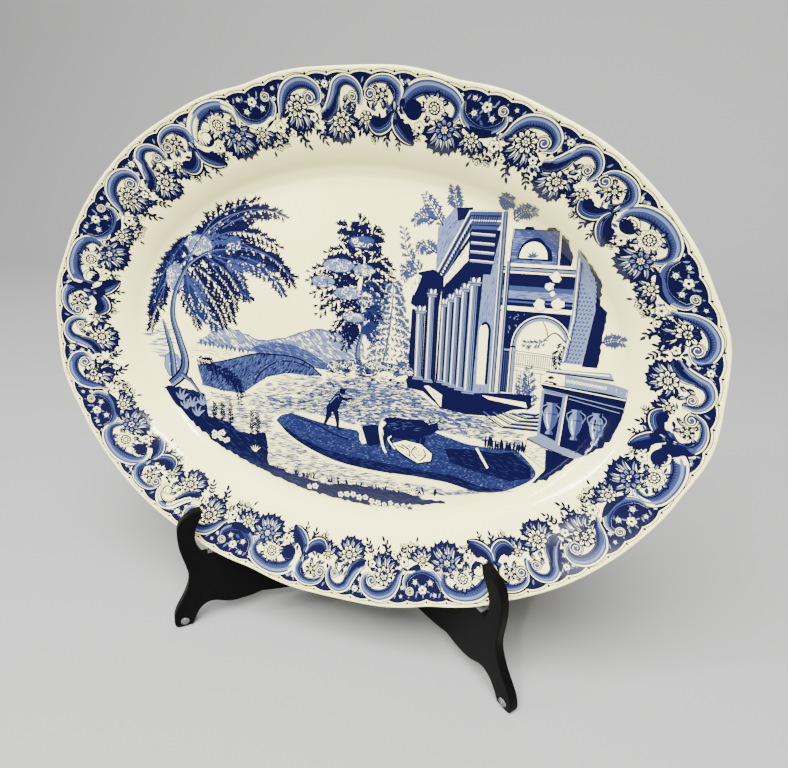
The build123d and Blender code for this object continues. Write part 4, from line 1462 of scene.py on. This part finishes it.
def areaLight(name, place, target, size, power):
    light = bpy.data.lights.new(name, "AREA")
    light.shape = "RECTANGLE"
    light.size, light.size_y = size
    light.energy = power
    obj = bpy.data.objects.new(name, light)
    bpy.context.scene.collection.objects.link(obj)
    obj.location = place
    obj.rotation_euler = (Vector(target) - Vector(place)).to_track_quat("-Z", "Y").to_euler()
    return obj


# each window is a narrow light that leaves a streak in the glaze: place, target, size and power
windows = {
    "top_window": ((0.25, -0.35, 1.9), (0, 0, 0.15), (0.7, 0.35), 12),
    "side_window": ((-1.4, -0.8, 0.9), (0, 0, 0.2), (0.08, 0.7), 20),
    "front_window": ((-0.05, -1.9, 1.25), (0, 0, 0.2), (0.06, 0.4), 24),
    "far_window": ((-1.42, -2.7, 0.84), (0, 0, 0.2), (0.16, 0.34), 1.4),
}


def buildStudio():
    # a floor that curves up behind, under one broad light and four windows
    m, nodes, links, shader = newMaterial("pale_floor")
    shader.inputs["Base Color"].default_value = (0.26, 0.26, 0.256, 1)
    shader.inputs["Roughness"].default_value = 0.85
    profile = [(-0.42, 0)] + [(0.75 + 0.5 * math.sin(a), 0.5 - 0.5 * math.cos(a))
        for a in np.linspace(0, math.pi / 2, 17)] + [(1.25, 2.4)]
    verts = [(x, y, z) for y, z in profile for x in (-3.5, 3.5)]
    faces = [(2 * i, 2 * i + 1, 2 * i + 3, 2 * i + 2) for i in range(len(profile) - 1)]
    meshObject("floor", verts, faces, m)
    # a round cove further out, for views from other sides; the glaze doesn't mirror it
    n = 64
    t = np.linspace(0, turn, n, endpoint=False)
    rings = [(0.3, -0.001), (2.2, -0.001)] + [(2.2 + 0.8 * math.sin(a), 0.799 - 0.8 * math.cos(a))
        for a in np.linspace(0.1, math.pi / 2, 12)] + [(3.0, 2.6)]
    verts = [(r * math.cos(a), r * math.sin(a), z) for r, z in rings for a in t]
    faces = [(i * n + j, (i + 1) * n + j, (i + 1) * n + (j + 1) % n, i * n + (j + 1) % n)
        for i in range(len(rings) - 1) for j in range(n)]
    cove = meshObject("cove", verts, faces, m)
    cove.visible_glossy = False
    areaLight("ceiling_light", (0.1, -0.75, 1.6), (0, 0, 0.17), (1.5, 1.0), 138).visible_glossy = False
    for name, values in windows.items():
        areaLight(name, *values)
    world = bpy.data.worlds.new("world")
    bpy.context.scene.world = world
    world.use_nodes = True
    nodes, links = world.node_tree.nodes, world.node_tree.links
    place = node(nodes, "TexCoord")
    axes = node(nodes, "SeparateXYZ")
    links.new(place.outputs["Generated"], axes.inputs["Vector"])
    sky = node(nodes, "ValToRGB")
    setRamp(sky, (0.03, 0.03, 0.032, 1), (0.95, 0.96, 1.0, 1), 0.12, 0.75)
    links.new(axes.outputs["Z"], sky.inputs["Fac"])
    links.new(sky.outputs["Color"], nodes["Background"].inputs["Color"])
    nodes["Background"].inputs["Strength"].default_value = 0.5


def buildCamera():
    view = {"place": (140.5, -316.2, 335.8), "turn": 19.0, "down": 24.9, "roll": -1.53, "lens": 29.96}
    a, e, roll = (math.radians(view[k]) for k in ("turn", "down", "roll"))
    right = Vector((math.cos(a), math.sin(a), 0))
    ahead = Vector((-math.sin(a) * math.cos(e), math.cos(a) * math.cos(e), -math.sin(e)))
    up = right.cross(ahead)
    cam = bpy.data.cameras.new("camera")
    cam.lens, cam.sensor_width, cam.clip_start = view["lens"], 36, 0.01
    obj = bpy.data.objects.new("camera", cam)
    bpy.context.scene.collection.objects.link(obj)
    lookStraight(obj, right * math.cos(roll) + up * math.sin(roll),
        up * math.cos(roll) - right * math.sin(roll), Vector(view["place"]) * mm)
    bpy.context.scene.camera = obj


buildStudio()
buildCamera()
